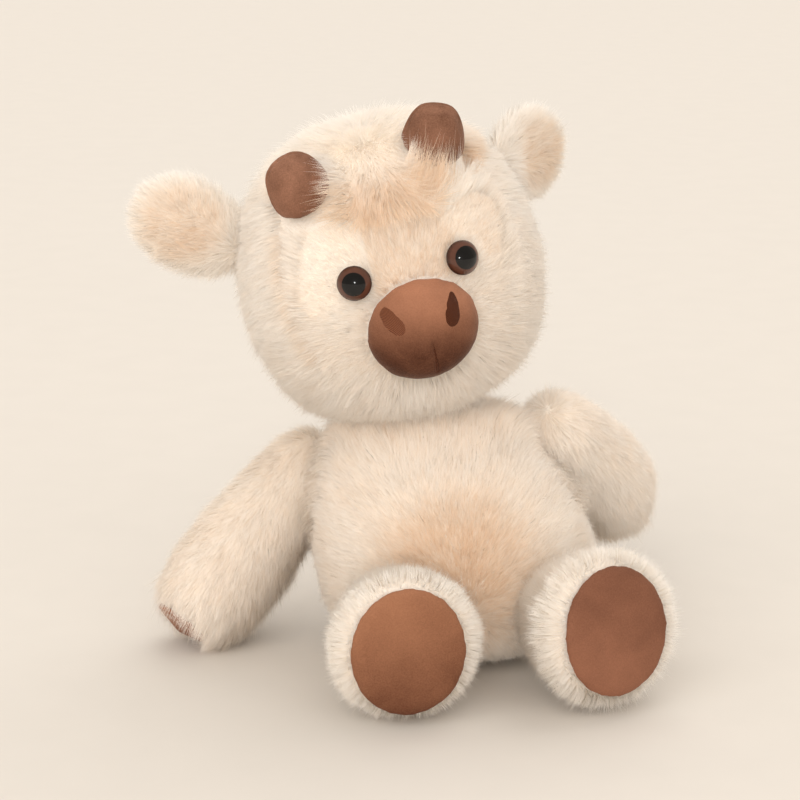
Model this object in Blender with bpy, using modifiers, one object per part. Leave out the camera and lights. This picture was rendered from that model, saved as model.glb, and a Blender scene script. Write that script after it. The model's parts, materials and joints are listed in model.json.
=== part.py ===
# A plush cow that sits with its legs out in front, one hand on the seat and its head tilted.
# Metres, +Z up, the face towards -Y. Left and right are the cow's own, so its left is at +X.
# The origin is the middle of the flat that it sits on.

from math import asin, cos, pi, radians, sin

import bmesh
import bpy
from mathutils import Matrix, Vector
from mathutils.bvhtree import BVHTree

# Cloth and clearances
CLEARANCE = 0.0003
SOCKET_CLEARANCE = 0.0008
FUR_WALL = 0.0055
VELVET_WALL = 0.0018
PAD_WALL = 0.0022
STITCH_WALL = 0.0009
FILL_CLEARANCE = 0.0006
STUFFING_HOLE_RADIUS = 0.005
SEAT_CUT = 0.0005
OVERRUN = 0.002
WELD_DISTANCE = 0.00001

# Torso, from the seat to the top of the chest
TORSO_HEIGHT = 0.125
TORSO_HALF_WIDTH = 0.071
TORSO_HALF_DEPTH = 0.057
TORSO_LEAN_BACK = 0.016
TORSO_LEAN_SIDE = 0.022

# Neck, a ball of packed filling between the torso and the head
NECK_RADIUS = 0.025
NECK_SINK = 0.0235

# Head, from under the chin to the crown. The face sits low on its left and high on its right by the skew
HEAD_HEIGHT = 0.146
HEAD_HALF_WIDTH = 0.070
HEAD_HALF_DEPTH = 0.060
HEAD_SINK = 0.0235
HEAD_FORWARD = 0.010
HEAD_TURN_ANGLE = 11.5
HEAD_NOD_ANGLE = 2.0
HEAD_TILT_ANGLE = 14.0
FACE_SKEW = 0.0013

# Nose patch and what is stitched on it
NOSE_HALF_WIDTH = 0.0285
NOSE_HALF_HEIGHT = 0.0260
NOSE_BULGE = 0.015
NOSE_ROOT = 0.012
NOSE_DROP = 0.023
NOSTRIL_LENGTH = 0.0158
NOSTRIL_WIDTH = 0.0085
NOSTRIL_OUT = 0.0145
NOSTRIL_UP = 0.0125
NOSTRIL_SHIFT = 0.0027
NOSTRIL_SLANT_ANGLE = 24.0
MUZZLE_STITCH_LENGTH = 0.0155
MUZZLE_STITCH_WIDTH = 0.0010
MUZZLE_STITCH_DROP = 0.0085
MUZZLE_STITCH_SHIFT = 0.0010

# Safety eyes
EYE_RADIUS = 0.0082
EYE_DOME_HEIGHT = 0.0046
EYE_FLANGE = 0.0012
EYE_POST_RADIUS = 0.0024
EYE_POST_LENGTH = 0.015
EYE_WASHER_RADIUS = 0.0085
EYE_WASHER_THICKNESS = 0.0014
EYE_WASHER_DROP = 0.0020
EYE_OUT = 0.0260
EYE_RISE = 0.0059

# Horns
HORN_RADIUS = 0.0155
HORN_LENGTH = 0.0190
HORN_ROOT = 0.010
HORN_OUT = 0.0330
HORN_SHIFT = 0.0035
HORN_FORWARD = 0.0355
HORN_SPLAY_ANGLE = 20.0
HORN_FORWARD_ANGLE = 14.0

# Ears
EAR_LENGTH = 0.053
EAR_HALF_WIDTH = 0.0230
EAR_HALF_THICKNESS = 0.0068
EAR_SINK = 0.003
EAR_RIGHT_UP = 0.0235
EAR_LEFT_UP = 0.0320
EAR_BACK = 0.006
EAR_RIGHT_LIFT_ANGLE = 42.0
EAR_LEFT_LIFT_ANGLE = -6.0
EAR_RIGHT_SWEEP_ANGLE = 6.0
EAR_LEFT_SWEEP_ANGLE = 42.0

# Arms
ARM_ROOT_RADIUS = 0.023
ARM_REACH = 0.106
HAND_HALF_WIDTH = 0.031
HAND_HALF_DEPTH = 0.029
ARM_SINK = 0.011
SHOULDER_BACK_ANGLE = 18.0
SHOULDER_RIGHT_DROP = 0.042
SHOULDER_LEFT_DROP = 0.028
ARM_RIGHT_BACK_ANGLE = -33.0
ARM_LEFT_BACK_ANGLE = 60.3
ARM_LEFT_DROP_ANGLE = 36.0
HAND_PAD_HALF_WIDTH = 0.0165
HAND_PAD_HALF_HEIGHT = 0.0155

# Legs
LEG_ROOT_RADIUS = 0.025
LEG_REACH = 0.045
FOOT_HALF_WIDTH = 0.0375
FOOT_HALF_HEIGHT = 0.0378
LEG_SINK = 0.010
HIP_RIGHT_OUT = 0.034
HIP_LEFT_OUT = 0.050
LEG_RIGHT_SPLAY_ANGLE = -9.0
LEG_LEFT_SPLAY_ANGLE = 26.0
LEG_RIGHT_RAISE_ANGLE = 0.0
LEG_LEFT_RAISE_ANGLE = 9.0
LEG_RIGHT_LIFT = 0.0
LEG_LEFT_LIFT = 0.005
SOLE_HALF_WIDTH = 0.0272
SOLE_HALF_HEIGHT = 0.0314

# Counts
CAGE_SIDES = 8
ROUND_SIDES = 20
FINE_LEVELS = 2
PLAIN_LEVELS = 1

# Each ring of a form: how far along it lies, its half width and its half depth, as shares of the form's own
TORSO_SHARES = (
    (-0.01, 0.70, 0.74),
    (0.16, 1.04, 1.05),
    (0.52, 1.04, 1.05),
    (0.89, 0.74, 0.77),
    (1.00, 0.40, 0.44),
)
HEAD_SHARES = (
    (0.00, 0.50, 0.52),
    (0.18, 0.98, 1.00),
    (0.50, 1.09, 1.11),
    (0.84, 0.88, 0.91),
    (1.00, 0.42, 0.46),
)
ROOT_SHARES = ((-1.00, 0.42), (-0.50, 0.90))
ARM_SHARES = ((0.14, 0.80), (0.74, 1.04), (1.00, 0.66))
LEG_SHARES = ((0.28, 0.78), (0.88, 1.085), (1.08, 0.78))
EAR_SHARES = (
    (-0.14, 0.40, 0.50),
    (0.06, 0.72, 0.88),
    (0.34, 1.00, 1.00),
    (0.66, 1.00, 1.00),
    (0.90, 0.66, 0.80),
    (1.00, 0.26, 0.40),
)
HORN_SHARES = ((0.00, 1.00), (0.45, 0.98), (0.82, 0.78), (1.00, 0.40))
NOSE_SHARES = ((0.00, 1.00), (0.45, 0.96), (0.84, 0.72), (1.00, 0.36))
NOSTRIL_SHARES = (
    (-0.50, 0.12),
    (-0.34, 0.28),
    (-0.06, 0.42),
    (0.17, 0.50),
    (0.37, 0.40),
    (0.50, 0.12),
)

# How much of its width an ear is sewn on along, and how far down its arm the hand's middle is
EAR_ROOT_SHARE = 0.80
HAND_SHARE = 0.712

# How much wider a ring of the cage is than the smoothed form that it makes
RING_SWELL_SHARE = 6 / (4 + 2 * cos(2 * pi / CAGE_SIDES))

SIDES = (("left", 1), ("right", -1))

CREAM_FUR = (0.85, 0.74, 0.61)
TAN_FUR = (0.78, 0.62, 0.46)
BROWN_VELVET = (0.30, 0.12, 0.065)
DARK_THREAD = (0.10, 0.018, 0.004)
TONAL_THREAD = (0.22, 0.075, 0.035)
WHITE_FILLING = (0.86, 0.86, 0.84)
CLEAR_LENS = (0.80, 0.78, 0.76)
EYE_BROWN = (0.14, 0.045, 0.02)
WASHER_WHITE = (0.82, 0.82, 0.80)


def clear_scene():
    for item in list(bpy.data.objects):
        bpy.data.objects.remove(item, do_unlink=True)


def add_collection(name):
    collection = bpy.data.collections.new(name)
    bpy.context.scene.collection.children.link(collection)
    return collection


def add_material(name, colour, roughness):
    made = bpy.data.materials.new(name)
    made.use_nodes = True
    shader = made.node_tree.nodes["Principled BSDF"]
    shader.inputs["Base Color"].default_value = (*colour, 1)
    shader.inputs["Roughness"].default_value = roughness
    shader.inputs["Metallic"].default_value = 0
    return made


def add_empty(name, place, parent=None):
    """An empty that carries pieces, at a 4x4 place in its parent's frame."""
    empty = bpy.data.objects.new(name, None)
    cow.objects.link(empty)
    empty.parent = parent
    empty.matrix_basis = place
    return empty


def add_part(name, mesh, look, place, parent):
    part = bpy.data.objects.new(name, mesh)
    cow.objects.link(part)
    part.parent = parent
    part.matrix_basis = place
    mesh.materials.append(look)
    mesh.shade_smooth()
    mesh.set_sharp_from_angle(angle=radians(40))
    return part


def add_guide(name, mesh, place, parent=None):
    """A cutter, or a form that others are cut by."""
    guide = bpy.data.objects.new(name, mesh)
    cutters.objects.link(guide)
    guide.parent = parent
    guide.matrix_basis = place
    guide.hide_render = True
    guide.display_type = "WIRE"
    return guide


def add_smoothing(part, levels):
    smoothing = part.modifiers.new("smooth", "SUBSURF")
    smoothing.levels = levels
    smoothing.render_levels = levels


def add_wall(part, thickness, outwards=False):
    wall = part.modifiers.new("wall", "SOLIDIFY")
    wall.thickness = thickness
    wall.offset = 1 if outwards else -1


def add_swell(part, distance):
    """Moves the whole surface out by a distance, or in by a negative one."""
    swell = part.modifiers.new("swell", "DISPLACE")
    swell.strength = distance
    swell.mid_level = 0


def add_cut(part, cutter, operation="DIFFERENCE"):
    cut = part.modifiers.new(cutter.name, "BOOLEAN")
    cut.operation = operation
    cut.object = cutter


def ring_cage(name, rings):
    """A coarse cage round rings of (centre, half width, half depth), capped at its ends."""
    cage = bmesh.new()
    loops = []
    for centre, half_width, half_depth in rings:
        swelled = (half_width * RING_SWELL_SHARE, half_depth * RING_SWELL_SHARE, 1, 1)
        ring = bmesh.ops.create_circle(
            cage,
            cap_ends=centre in (rings[0][0], rings[-1][0]),
            segments=CAGE_SIDES,
            radius=1,
            matrix=Matrix.Translation(centre) @ Matrix.Diagonal(swelled),
        )
        loops.append(list(dict.fromkeys(edge for vert in ring["verts"] for edge in vert.link_edges)))
    for lower, upper in zip(loops, loops[1:]):
        bmesh.ops.bridge_loops(cage, edges=lower + upper)
    bmesh.ops.recalc_face_normals(cage, faces=cage.faces)
    mesh = bpy.data.meshes.new(name)
    cage.to_mesh(mesh)
    cage.free()
    return mesh


def ball_mesh(name, radius):
    ball = bmesh.new()
    bmesh.ops.create_uvsphere(ball, u_segments=ROUND_SIDES, v_segments=ROUND_SIDES // 2, radius=radius)
    mesh = bpy.data.meshes.new(name)
    ball.to_mesh(mesh)
    ball.free()
    return mesh


def box_mesh(name, size, centre):
    box = bmesh.new()
    bmesh.ops.create_cube(box, size=1, matrix=Matrix.Translation(centre) @ Matrix.Diagonal((*size, 1)))
    mesh = bpy.data.meshes.new(name)
    box.to_mesh(mesh)
    box.free()
    return mesh


def drum_mesh(name, half_width, half_height, low, high):
    """An elliptical drum along Z, from low to high."""
    drum = bmesh.new()
    place = Matrix.Translation((0, 0, (low + high) / 2)) @ Matrix.Diagonal((half_width, half_height, 1, 1))
    bmesh.ops.create_cone(
        drum, cap_ends=True, segments=ROUND_SIDES, radius1=1, radius2=1, depth=high - low, matrix=place
    )
    mesh = bpy.data.meshes.new(name)
    drum.to_mesh(mesh)
    drum.free()
    return mesh


def outline_mesh(name, points, low, high):
    """A flat outline raised along Z from low to high."""
    prism = bmesh.new()
    corners = [prism.verts.new((x, y, low)) for x, y in points]
    base = prism.faces.new(corners)
    raised = bmesh.ops.extrude_face_region(prism, geom=[base])
    moved = [item for item in raised["geom"] if isinstance(item, bmesh.types.BMVert)]
    bmesh.ops.translate(prism, vec=(0, 0, high - low), verts=moved)
    bmesh.ops.recalc_face_normals(prism, faces=prism.faces)
    mesh = bpy.data.meshes.new(name)
    prism.to_mesh(mesh)
    prism.free()
    return mesh


def turned_part(name, profile, closed, look, place, parent):
    """A piece turned about Z from a profile of (radius, height) that runs from top to bottom."""
    mesh = bpy.data.meshes.new(name)
    points = [(radius, 0, height) for radius, height in profile]
    edges = [(index, index + 1) for index in range(len(points) - 1)]
    if closed:
        edges.append((len(points) - 1, 0))
    mesh.from_pydata(points, edges, [])
    part = add_part(name, mesh, look, place, parent)
    turn = part.modifiers.new("turn", "SCREW")
    turn.steps = ROUND_SIDES
    turn.render_steps = ROUND_SIDES
    turn.use_merge_vertices = True
    turn.merge_threshold = WELD_DISTANCE
    return part


def place_facing(spot, outward, upward):
    """The place at a spot whose Z points outward and whose Y points as nearly upward as it can."""
    along = outward.normalized()
    across = upward.cross(along).normalized()
    rise = along.cross(across)
    turned = Matrix((across, rise, along)).transposed()
    return Matrix.Translation(spot) @ turned.to_4x4()


def surface_spot(form, start, direction):
    """Where a line from inside a form leaves its smoothed surface, and the normal there."""
    graph = bpy.context.evaluated_depsgraph_get()
    tree = BVHTree.FromObject(form, graph)
    spot, normal, _, _ = tree.ray_cast(start, direction.normalized())
    return spot, normal


def torso_centre(height):
    """The middle of the torso at a height, which leans back and to the cow's right on its way up."""
    share = height / TORSO_HEIGHT
    return Vector((-TORSO_LEAN_SIDE * share**2, TORSO_LEAN_BACK * share**2, height))


def stacked_rings(shares, length, half_width, half_depth):
    return [
        (Vector((0, 0, length * along)), half_width * width, half_depth * depth)
        for along, width, depth in shares
    ]


def limb_rings(root_radius, reach, half_width, half_depth, shares):
    """Rings that start inside a ball of the root radius and widen to the end of the limb."""
    root = [(along, size, size) for along, size in ROOT_SHARES]
    rest = [(along, size, size) for along, size in shares]
    root_rings = stacked_rings(root, root_radius, root_radius, root_radius)
    return root_rings + stacked_rings(rest, reach, half_width, half_depth)


def add_skin(name, mesh, look, place, parent, levels, wall):
    skin = add_part(name, mesh, look, place, parent)
    add_smoothing(skin, levels)
    add_wall(skin, wall)
    return skin


def add_filling(name, mesh, place, parent, levels, wall):
    """What fills a skin: the same form, smaller by the skin's wall and a clearance."""
    filling = add_part(name, mesh, add_material(name, WHITE_FILLING, 0.95), place, parent)
    add_smoothing(filling, levels)
    add_swell(filling, -(wall + FILL_CLEARANCE))
    return filling


def add_cover(name, mesh, look, place, parent, levels, wall, outline):
    """A thin cover on a form: a shell just over it, kept only inside an outline."""
    cover = add_part(name, mesh, look, place, parent)
    add_smoothing(cover, levels)
    add_swell(cover, CLEARANCE)
    add_wall(cover, wall, outwards=True)
    add_cut(cover, outline, "INTERSECT")
    return cover


def add_stuffing_hole(name, skin, reach, frame):
    """The hole that a limb is filled through, at its back, where the torso hides it."""
    drum = drum_mesh(name + "_stuffing_hole", STUFFING_HOLE_RADIUS, STUFFING_HOLE_RADIUS, -reach, 0)
    add_cut(skin, add_guide(name + "_stuffing_hole", drum, Matrix(), frame))


def add_socket(name, radius, joint, torso_pieces):
    """Cuts the room for a limb's ball out of the torso."""
    ball = ball_mesh(name + "_socket", radius + SOCKET_CLEARANCE)
    cutter = add_guide(name + "_socket", ball, Matrix(), joint)
    for piece in torso_pieces:
        add_cut(piece, cutter)


def seat_cutter():
    """Everything below the seat, which the forms that rest on it are cut flat by."""
    side = 4 * TORSO_HEIGHT
    return add_guide("below_seat", box_mesh("below_seat", (side, side, side), (0, 0, -side / 2)), Matrix())


def make_torso(seat):
    rings = []
    for along, width, depth in TORSO_SHARES:
        centre = torso_centre(TORSO_HEIGHT * along)
        centre.z -= SEAT_CUT
        rings.append((centre, TORSO_HALF_WIDTH * width, TORSO_HALF_DEPTH * depth))
    cage = ring_cage("torso", rings)
    form = add_guide("torso_form", cage, Matrix())
    add_smoothing(form, FINE_LEVELS)
    fur = add_material("torso_skin", CREAM_FUR, 0.9)
    skin = add_skin("torso_skin", cage.copy(), fur, Matrix(), torso_frame, FINE_LEVELS, FUR_WALL)
    filling = add_filling("torso_filling", cage.copy(), Matrix(), torso_frame, PLAIN_LEVELS, FUR_WALL)
    add_cut(skin, seat)
    return form, skin, filling


def make_neck(torso_form):
    """The neck's ball, sunk into the top of the torso, and the cutter for the sockets round it."""
    below = torso_centre(TORSO_HEIGHT)
    below.z = TORSO_HEIGHT / 2
    top, _ = surface_spot(torso_form, below, Vector((0, 0, 1)))
    centre = top + Vector((0, 0, NECK_RADIUS - NECK_SINK))
    turn = add_empty("neck_turn_joint", Matrix.Translation(centre), torso_frame)
    white = add_material("neck_filling", WHITE_FILLING, 0.95)
    add_part("neck_filling", ball_mesh("neck", NECK_RADIUS), white, Matrix(), turn)
    room = ball_mesh("neck_socket", NECK_RADIUS + SOCKET_CLEARANCE)
    socket = add_guide("neck_socket", room, Matrix(), turn)
    return turn, socket


def make_head(turn):
    """The head, which nods on the neck's ball. Its frame starts at the ball's middle."""
    pose = (
        Matrix.Rotation(radians(HEAD_TURN_ANGLE), 4, "Z")
        @ Matrix.Rotation(radians(-HEAD_TILT_ANGLE), 4, "Y")
        @ Matrix.Rotation(radians(-HEAD_NOD_ANGLE), 4, "X")
    )
    nod = add_empty("head_nod_joint", pose, turn)
    lift = Matrix.Translation((0, -HEAD_FORWARD, NECK_RADIUS - HEAD_SINK))
    cage = ring_cage("head", stacked_rings(HEAD_SHARES, HEAD_HEIGHT, HEAD_HALF_WIDTH, HEAD_HALF_DEPTH))
    form = add_guide("head_form", cage, lift, nod)
    add_smoothing(form, FINE_LEVELS)
    add_swell(form, CLEARANCE)
    fur = add_material("head_skin", CREAM_FUR, 0.9)
    skin = add_skin("head_skin", cage.copy(), fur, lift, nod, FINE_LEVELS, FUR_WALL)
    filling = add_filling("head_filling", cage.copy(), lift, nod, PLAIN_LEVELS, FUR_WALL)
    return nod, lift, form, skin, filling


def make_nose(head, lift, form):
    """The stuffed velvet nose, cut by the head behind it, with its nostrils and the stitch under them."""
    start = Vector((0, 0, HEAD_HEIGHT / 2 - NOSE_DROP))
    spot, normal = surface_spot(form, start, Vector((0, -1, 0)))
    face = lift @ place_facing(spot, normal, Vector((0, 0, 1)))
    base = face @ Matrix.Translation((0, 0, -NOSE_ROOT))
    shares = [(along, size, size) for along, size in NOSE_SHARES]
    rings = stacked_rings(shares, NOSE_ROOT + NOSE_BULGE, NOSE_HALF_WIDTH, NOSE_HALF_HEIGHT)
    cage = ring_cage("nose", rings)
    velvet = add_material("nose_velvet", BROWN_VELVET, 0.85)
    cover = add_skin("nose_velvet", cage, velvet, base, head, PLAIN_LEVELS, VELVET_WALL)
    filling = add_filling("nose_filling", cage.copy(), base, head, PLAIN_LEVELS, VELVET_WALL)
    add_cut(cover, form)
    add_cut(filling, form)

    reach = NOSE_ROOT + NOSE_BULGE + OVERRUN
    for side, sign in SIDES:
        points = [(sign * NOSTRIL_WIDTH * width, NOSTRIL_LENGTH * -along) for along, width in NOSTRIL_SHARES]
        points += [(-x, y) for x, y in reversed(points)]
        slant = Matrix.Rotation(radians(-sign * NOSTRIL_SLANT_ANGLE), 4, "Z")
        rise = NOSTRIL_UP - sign * FACE_SKEW
        spot = base @ Matrix.Translation((sign * NOSTRIL_OUT - NOSTRIL_SHIFT, rise, 0)) @ slant
        outline = add_guide(
            side + "_nostril_outline", outline_mesh(side + "_nostril", points, NOSE_ROOT, reach), spot, head
        )
        colour = DARK_THREAD if side == "left" else TONAL_THREAD
        thread = add_material(side + "_nostril", colour, 0.5)
        add_cover(side + "_nostril", cage.copy(), thread, base, head, PLAIN_LEVELS, STITCH_WALL, outline)
    size = (MUZZLE_STITCH_WIDTH, MUZZLE_STITCH_LENGTH, reach)
    middle = (-MUZZLE_STITCH_SHIFT, -MUZZLE_STITCH_DROP, NOSE_ROOT + reach / 2)
    line = box_mesh("muzzle_stitch", size, middle)
    outline = add_guide("muzzle_stitch_outline", line, base, head)
    thread = add_material("muzzle_stitch", DARK_THREAD, 0.6)
    add_cover("muzzle_stitch", cage.copy(), thread, base, head, PLAIN_LEVELS, STITCH_WALL, outline)


def make_eye(side, sign, head, lift, form, skin, filling):
    """A safety eye: a clear dome on a brown base, whose post goes through the skin into a lock washer."""
    start = Vector((sign * EYE_OUT, 0, HEAD_HEIGHT / 2 + EYE_RISE - sign * FACE_SKEW))
    spot, normal = surface_spot(form, start, Vector((0, -1, 0)))
    place = lift @ place_facing(spot, normal, Vector((0, 0, 1)))
    base_low = CLEARANCE
    base_high = base_low + EYE_FLANGE
    dome_low = base_high + CLEARANCE
    post_low = base_low - EYE_POST_LENGTH
    base_profile = [
        (0, base_high),
        (EYE_RADIUS, base_high),
        (EYE_RADIUS, base_low),
        (EYE_POST_RADIUS, base_low),
        (EYE_POST_RADIUS, post_low),
        (0, post_low),
    ]
    brown = add_material(side + "_eye_base", EYE_BROWN, 0.3)
    turned_part(side + "_eye_base", base_profile, False, brown, place, head)

    bend = (EYE_RADIUS**2 + EYE_DOME_HEIGHT**2) / (2 * EYE_DOME_HEIGHT)
    dome_profile = []
    for step in range(ROUND_SIDES // 4 + 1):
        radius = EYE_RADIUS * sin(pi / 2 * step / (ROUND_SIDES // 4))
        height = (bend**2 - radius**2) ** 0.5 - bend + EYE_DOME_HEIGHT
        dome_profile.append((radius, dome_low + height))
    dome_profile.append((0, dome_low))
    clear = add_material(side + "_eye_dome", CLEAR_LENS, 0.05)
    turned_part(side + "_eye_dome", dome_profile, False, clear, place, head)

    washer_high = -FUR_WALL - EYE_WASHER_DROP
    washer_low = washer_high - EYE_WASHER_THICKNESS
    hole = EYE_POST_RADIUS + CLEARANCE
    washer_profile = [
        (hole, washer_high),
        (EYE_WASHER_RADIUS, washer_high),
        (EYE_WASHER_RADIUS, washer_low),
        (hole, washer_low),
    ]
    white = add_material(side + "_eye_washer", WASHER_WHITE, 0.5)
    turned_part(side + "_eye_washer", washer_profile, True, white, place, head)

    wall_hole = drum_mesh(side + "_eye_hole", hole, hole, post_low, OVERRUN)
    add_cut(skin, add_guide(side + "_eye_hole", wall_hole, place, head))
    room = EYE_WASHER_RADIUS + CLEARANCE
    pocket = drum_mesh(side + "_eye_pocket", room, room, post_low - CLEARANCE, OVERRUN)
    add_cut(filling, add_guide(side + "_eye_pocket", pocket, place, head))


def make_horn(side, sign, head, lift, form):
    start = Vector((sign * HORN_OUT - HORN_SHIFT, -HORN_FORWARD, HEAD_HEIGHT / 2))
    spot, _ = surface_spot(form, start, Vector((0, 0, 1)))
    outward = Vector((sin(radians(sign * HORN_SPLAY_ANGLE)), -sin(radians(HORN_FORWARD_ANGLE)), 1))
    place = lift @ place_facing(spot, outward, Vector((0, -1, 0))) @ Matrix.Translation((0, 0, -HORN_ROOT))
    shares = [(along, size, size) for along, size in HORN_SHARES]
    rings = stacked_rings(shares, HORN_ROOT + HORN_LENGTH, HORN_RADIUS, HORN_RADIUS)
    cage = ring_cage(side + "_horn", rings)
    velvet = add_material(side + "_horn_velvet", BROWN_VELVET, 0.85)
    cover = add_skin(side + "_horn_velvet", cage, velvet, place, head, PLAIN_LEVELS, VELVET_WALL)
    stuffing = add_filling(side + "_horn_filling", cage.copy(), place, head, PLAIN_LEVELS, VELVET_WALL)
    add_cut(cover, form)
    add_cut(stuffing, form)


def make_ear(side, sign, head, lift, form, skin):
    """An ear of two layers, which turns about the line that it is sewn along."""
    lift_angle = EAR_LEFT_LIFT_ANGLE if side == "left" else EAR_RIGHT_LIFT_ANGLE
    rise = EAR_LEFT_UP if side == "left" else EAR_RIGHT_UP
    start = Vector((0, EAR_BACK, HEAD_HEIGHT / 2 + rise))
    spot, _ = surface_spot(form, start, Vector((sign, 0, 0)))
    sweep_angle = EAR_LEFT_SWEEP_ANGLE if side == "left" else EAR_RIGHT_SWEEP_ANGLE
    up, sweep = radians(lift_angle), radians(sweep_angle)
    outward = Vector((sign * cos(up) * cos(sweep), sin(sweep), sin(up)))
    centre = spot + outward * (EAR_HALF_THICKNESS - EAR_SINK)
    joint = add_empty(side + "_ear_joint", lift @ place_facing(centre, outward, Vector((0, 1, 0))), head)
    rings = stacked_rings(EAR_SHARES, EAR_LENGTH, EAR_HALF_WIDTH, EAR_HALF_THICKNESS)
    cage = ring_cage(side + "_ear", rings)
    span = (4 * EAR_HALF_WIDTH, 4 * EAR_HALF_THICKNESS, 4 * EAR_LENGTH)
    layers = (("back", 1, CREAM_FUR), ("lining", -1, TAN_FUR))
    for layer, facing, colour in layers:
        name = side + "_ear_" + layer
        part = add_part(name, cage.copy(), add_material(name, colour, 0.9), Matrix(), joint)
        add_smoothing(part, PLAIN_LEVELS)
        middle = facing * (span[1] + CLEARANCE) / 2
        half = add_guide(name + "_half", box_mesh(name + "_half", span, (0, middle, 0)), Matrix(), joint)
        add_cut(part, half, "INTERSECT")
    socket_radius = EAR_HALF_THICKNESS + SOCKET_CLEARANCE
    socket_reach = EAR_HALF_WIDTH * EAR_ROOT_SHARE + SOCKET_CLEARANCE
    across = Matrix.Rotation(pi / 2, 4, "Y")
    groove = drum_mesh(side + "_ear_groove", socket_radius, socket_radius, -socket_reach, socket_reach)
    add_cut(skin, add_guide(side + "_ear_groove", groove, across, joint))


def arm_side_cutter(side, shoulder):
    """What an arm gives up to the torso: all behind the flat that it lies on, but for its ball."""
    size = 4 * ARM_REACH
    flat = ARM_ROOT_RADIUS - ARM_SINK - SOCKET_CLEARANCE
    slab = box_mesh(side + "_arm_flat", (size, size, size), (0, 0, -flat - size / 2))
    cutter = add_guide(side + "_arm_flat", slab, Matrix(), shoulder)
    ball = ball_mesh(side + "_arm_ball", ARM_ROOT_RADIUS)
    add_cut(cutter, add_guide(side + "_arm_ball", ball, Matrix(), shoulder))
    return cutter


def resting_drop(shoulder_height):
    """How far below level an arm points when its hand lies on the seat."""
    fall = shoulder_height - HAND_HALF_DEPTH - PAD_WALL
    return asin(min(1, fall / (ARM_REACH * HAND_SHARE)))


def make_arm(side, sign, torso_form, torso_pieces):
    """An arm on a ball in the torso's side, which swings about the line out of the torso there."""
    start = torso_centre(TORSO_HEIGHT - (SHOULDER_LEFT_DROP if side == "left" else SHOULDER_RIGHT_DROP))
    back = radians(SHOULDER_BACK_ANGLE)
    spot, hinge = surface_spot(torso_form, start, Vector((sign * cos(back), sin(back), 0)))
    centre = spot + hinge * (ARM_ROOT_RADIUS - ARM_SINK)
    outward = place_facing(centre, hinge, Vector((0, 0, 1)))
    shoulder = add_empty(side + "_shoulder_frame", outward, torso_frame)
    swing, drop = radians(ARM_LEFT_BACK_ANGLE), radians(ARM_LEFT_DROP_ANGLE)
    if side == "right":
        swing = radians(ARM_RIGHT_BACK_ANGLE)
        drop = resting_drop(centre.z)
    along = Vector((sign * cos(drop) * cos(swing), cos(drop) * sin(swing), -sin(drop)))
    joint = add_empty(side + "_shoulder_joint", place_facing(centre, along, Vector((0, -1, 0))), torso_frame)

    rings = limb_rings(ARM_ROOT_RADIUS, ARM_REACH, HAND_HALF_WIDTH, HAND_HALF_DEPTH, ARM_SHARES)
    cage = ring_cage(side + "_arm", rings)
    fur = add_material(side + "_arm_skin", CREAM_FUR, 0.9)
    skin = add_skin(side + "_arm_skin", cage, fur, Matrix(), joint, PLAIN_LEVELS, FUR_WALL)
    filling = add_filling(side + "_arm_filling", cage.copy(), Matrix(), joint, PLAIN_LEVELS, FUR_WALL)
    flat = arm_side_cutter(side, shoulder)
    for piece in (skin, filling):
        add_cut(piece, flat)
    add_stuffing_hole(side + "_arm", skin, ARM_ROOT_RADIUS, shoulder)

    low, high = ARM_REACH / 2, ARM_REACH * 2
    drum = drum_mesh(side + "_hand_pad", HAND_PAD_HALF_WIDTH, HAND_PAD_HALF_HEIGHT, low, high)
    outline = add_guide(side + "_hand_pad_outline", drum, Matrix(), joint)
    velvet = add_material(side + "_hand_pad", BROWN_VELVET, 0.85)
    add_cover(side + "_hand_pad", cage.copy(), velvet, Matrix(), joint, PLAIN_LEVELS, PAD_WALL, outline)
    add_socket(side + "_shoulder", ARM_ROOT_RADIUS, joint, torso_pieces)


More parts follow.
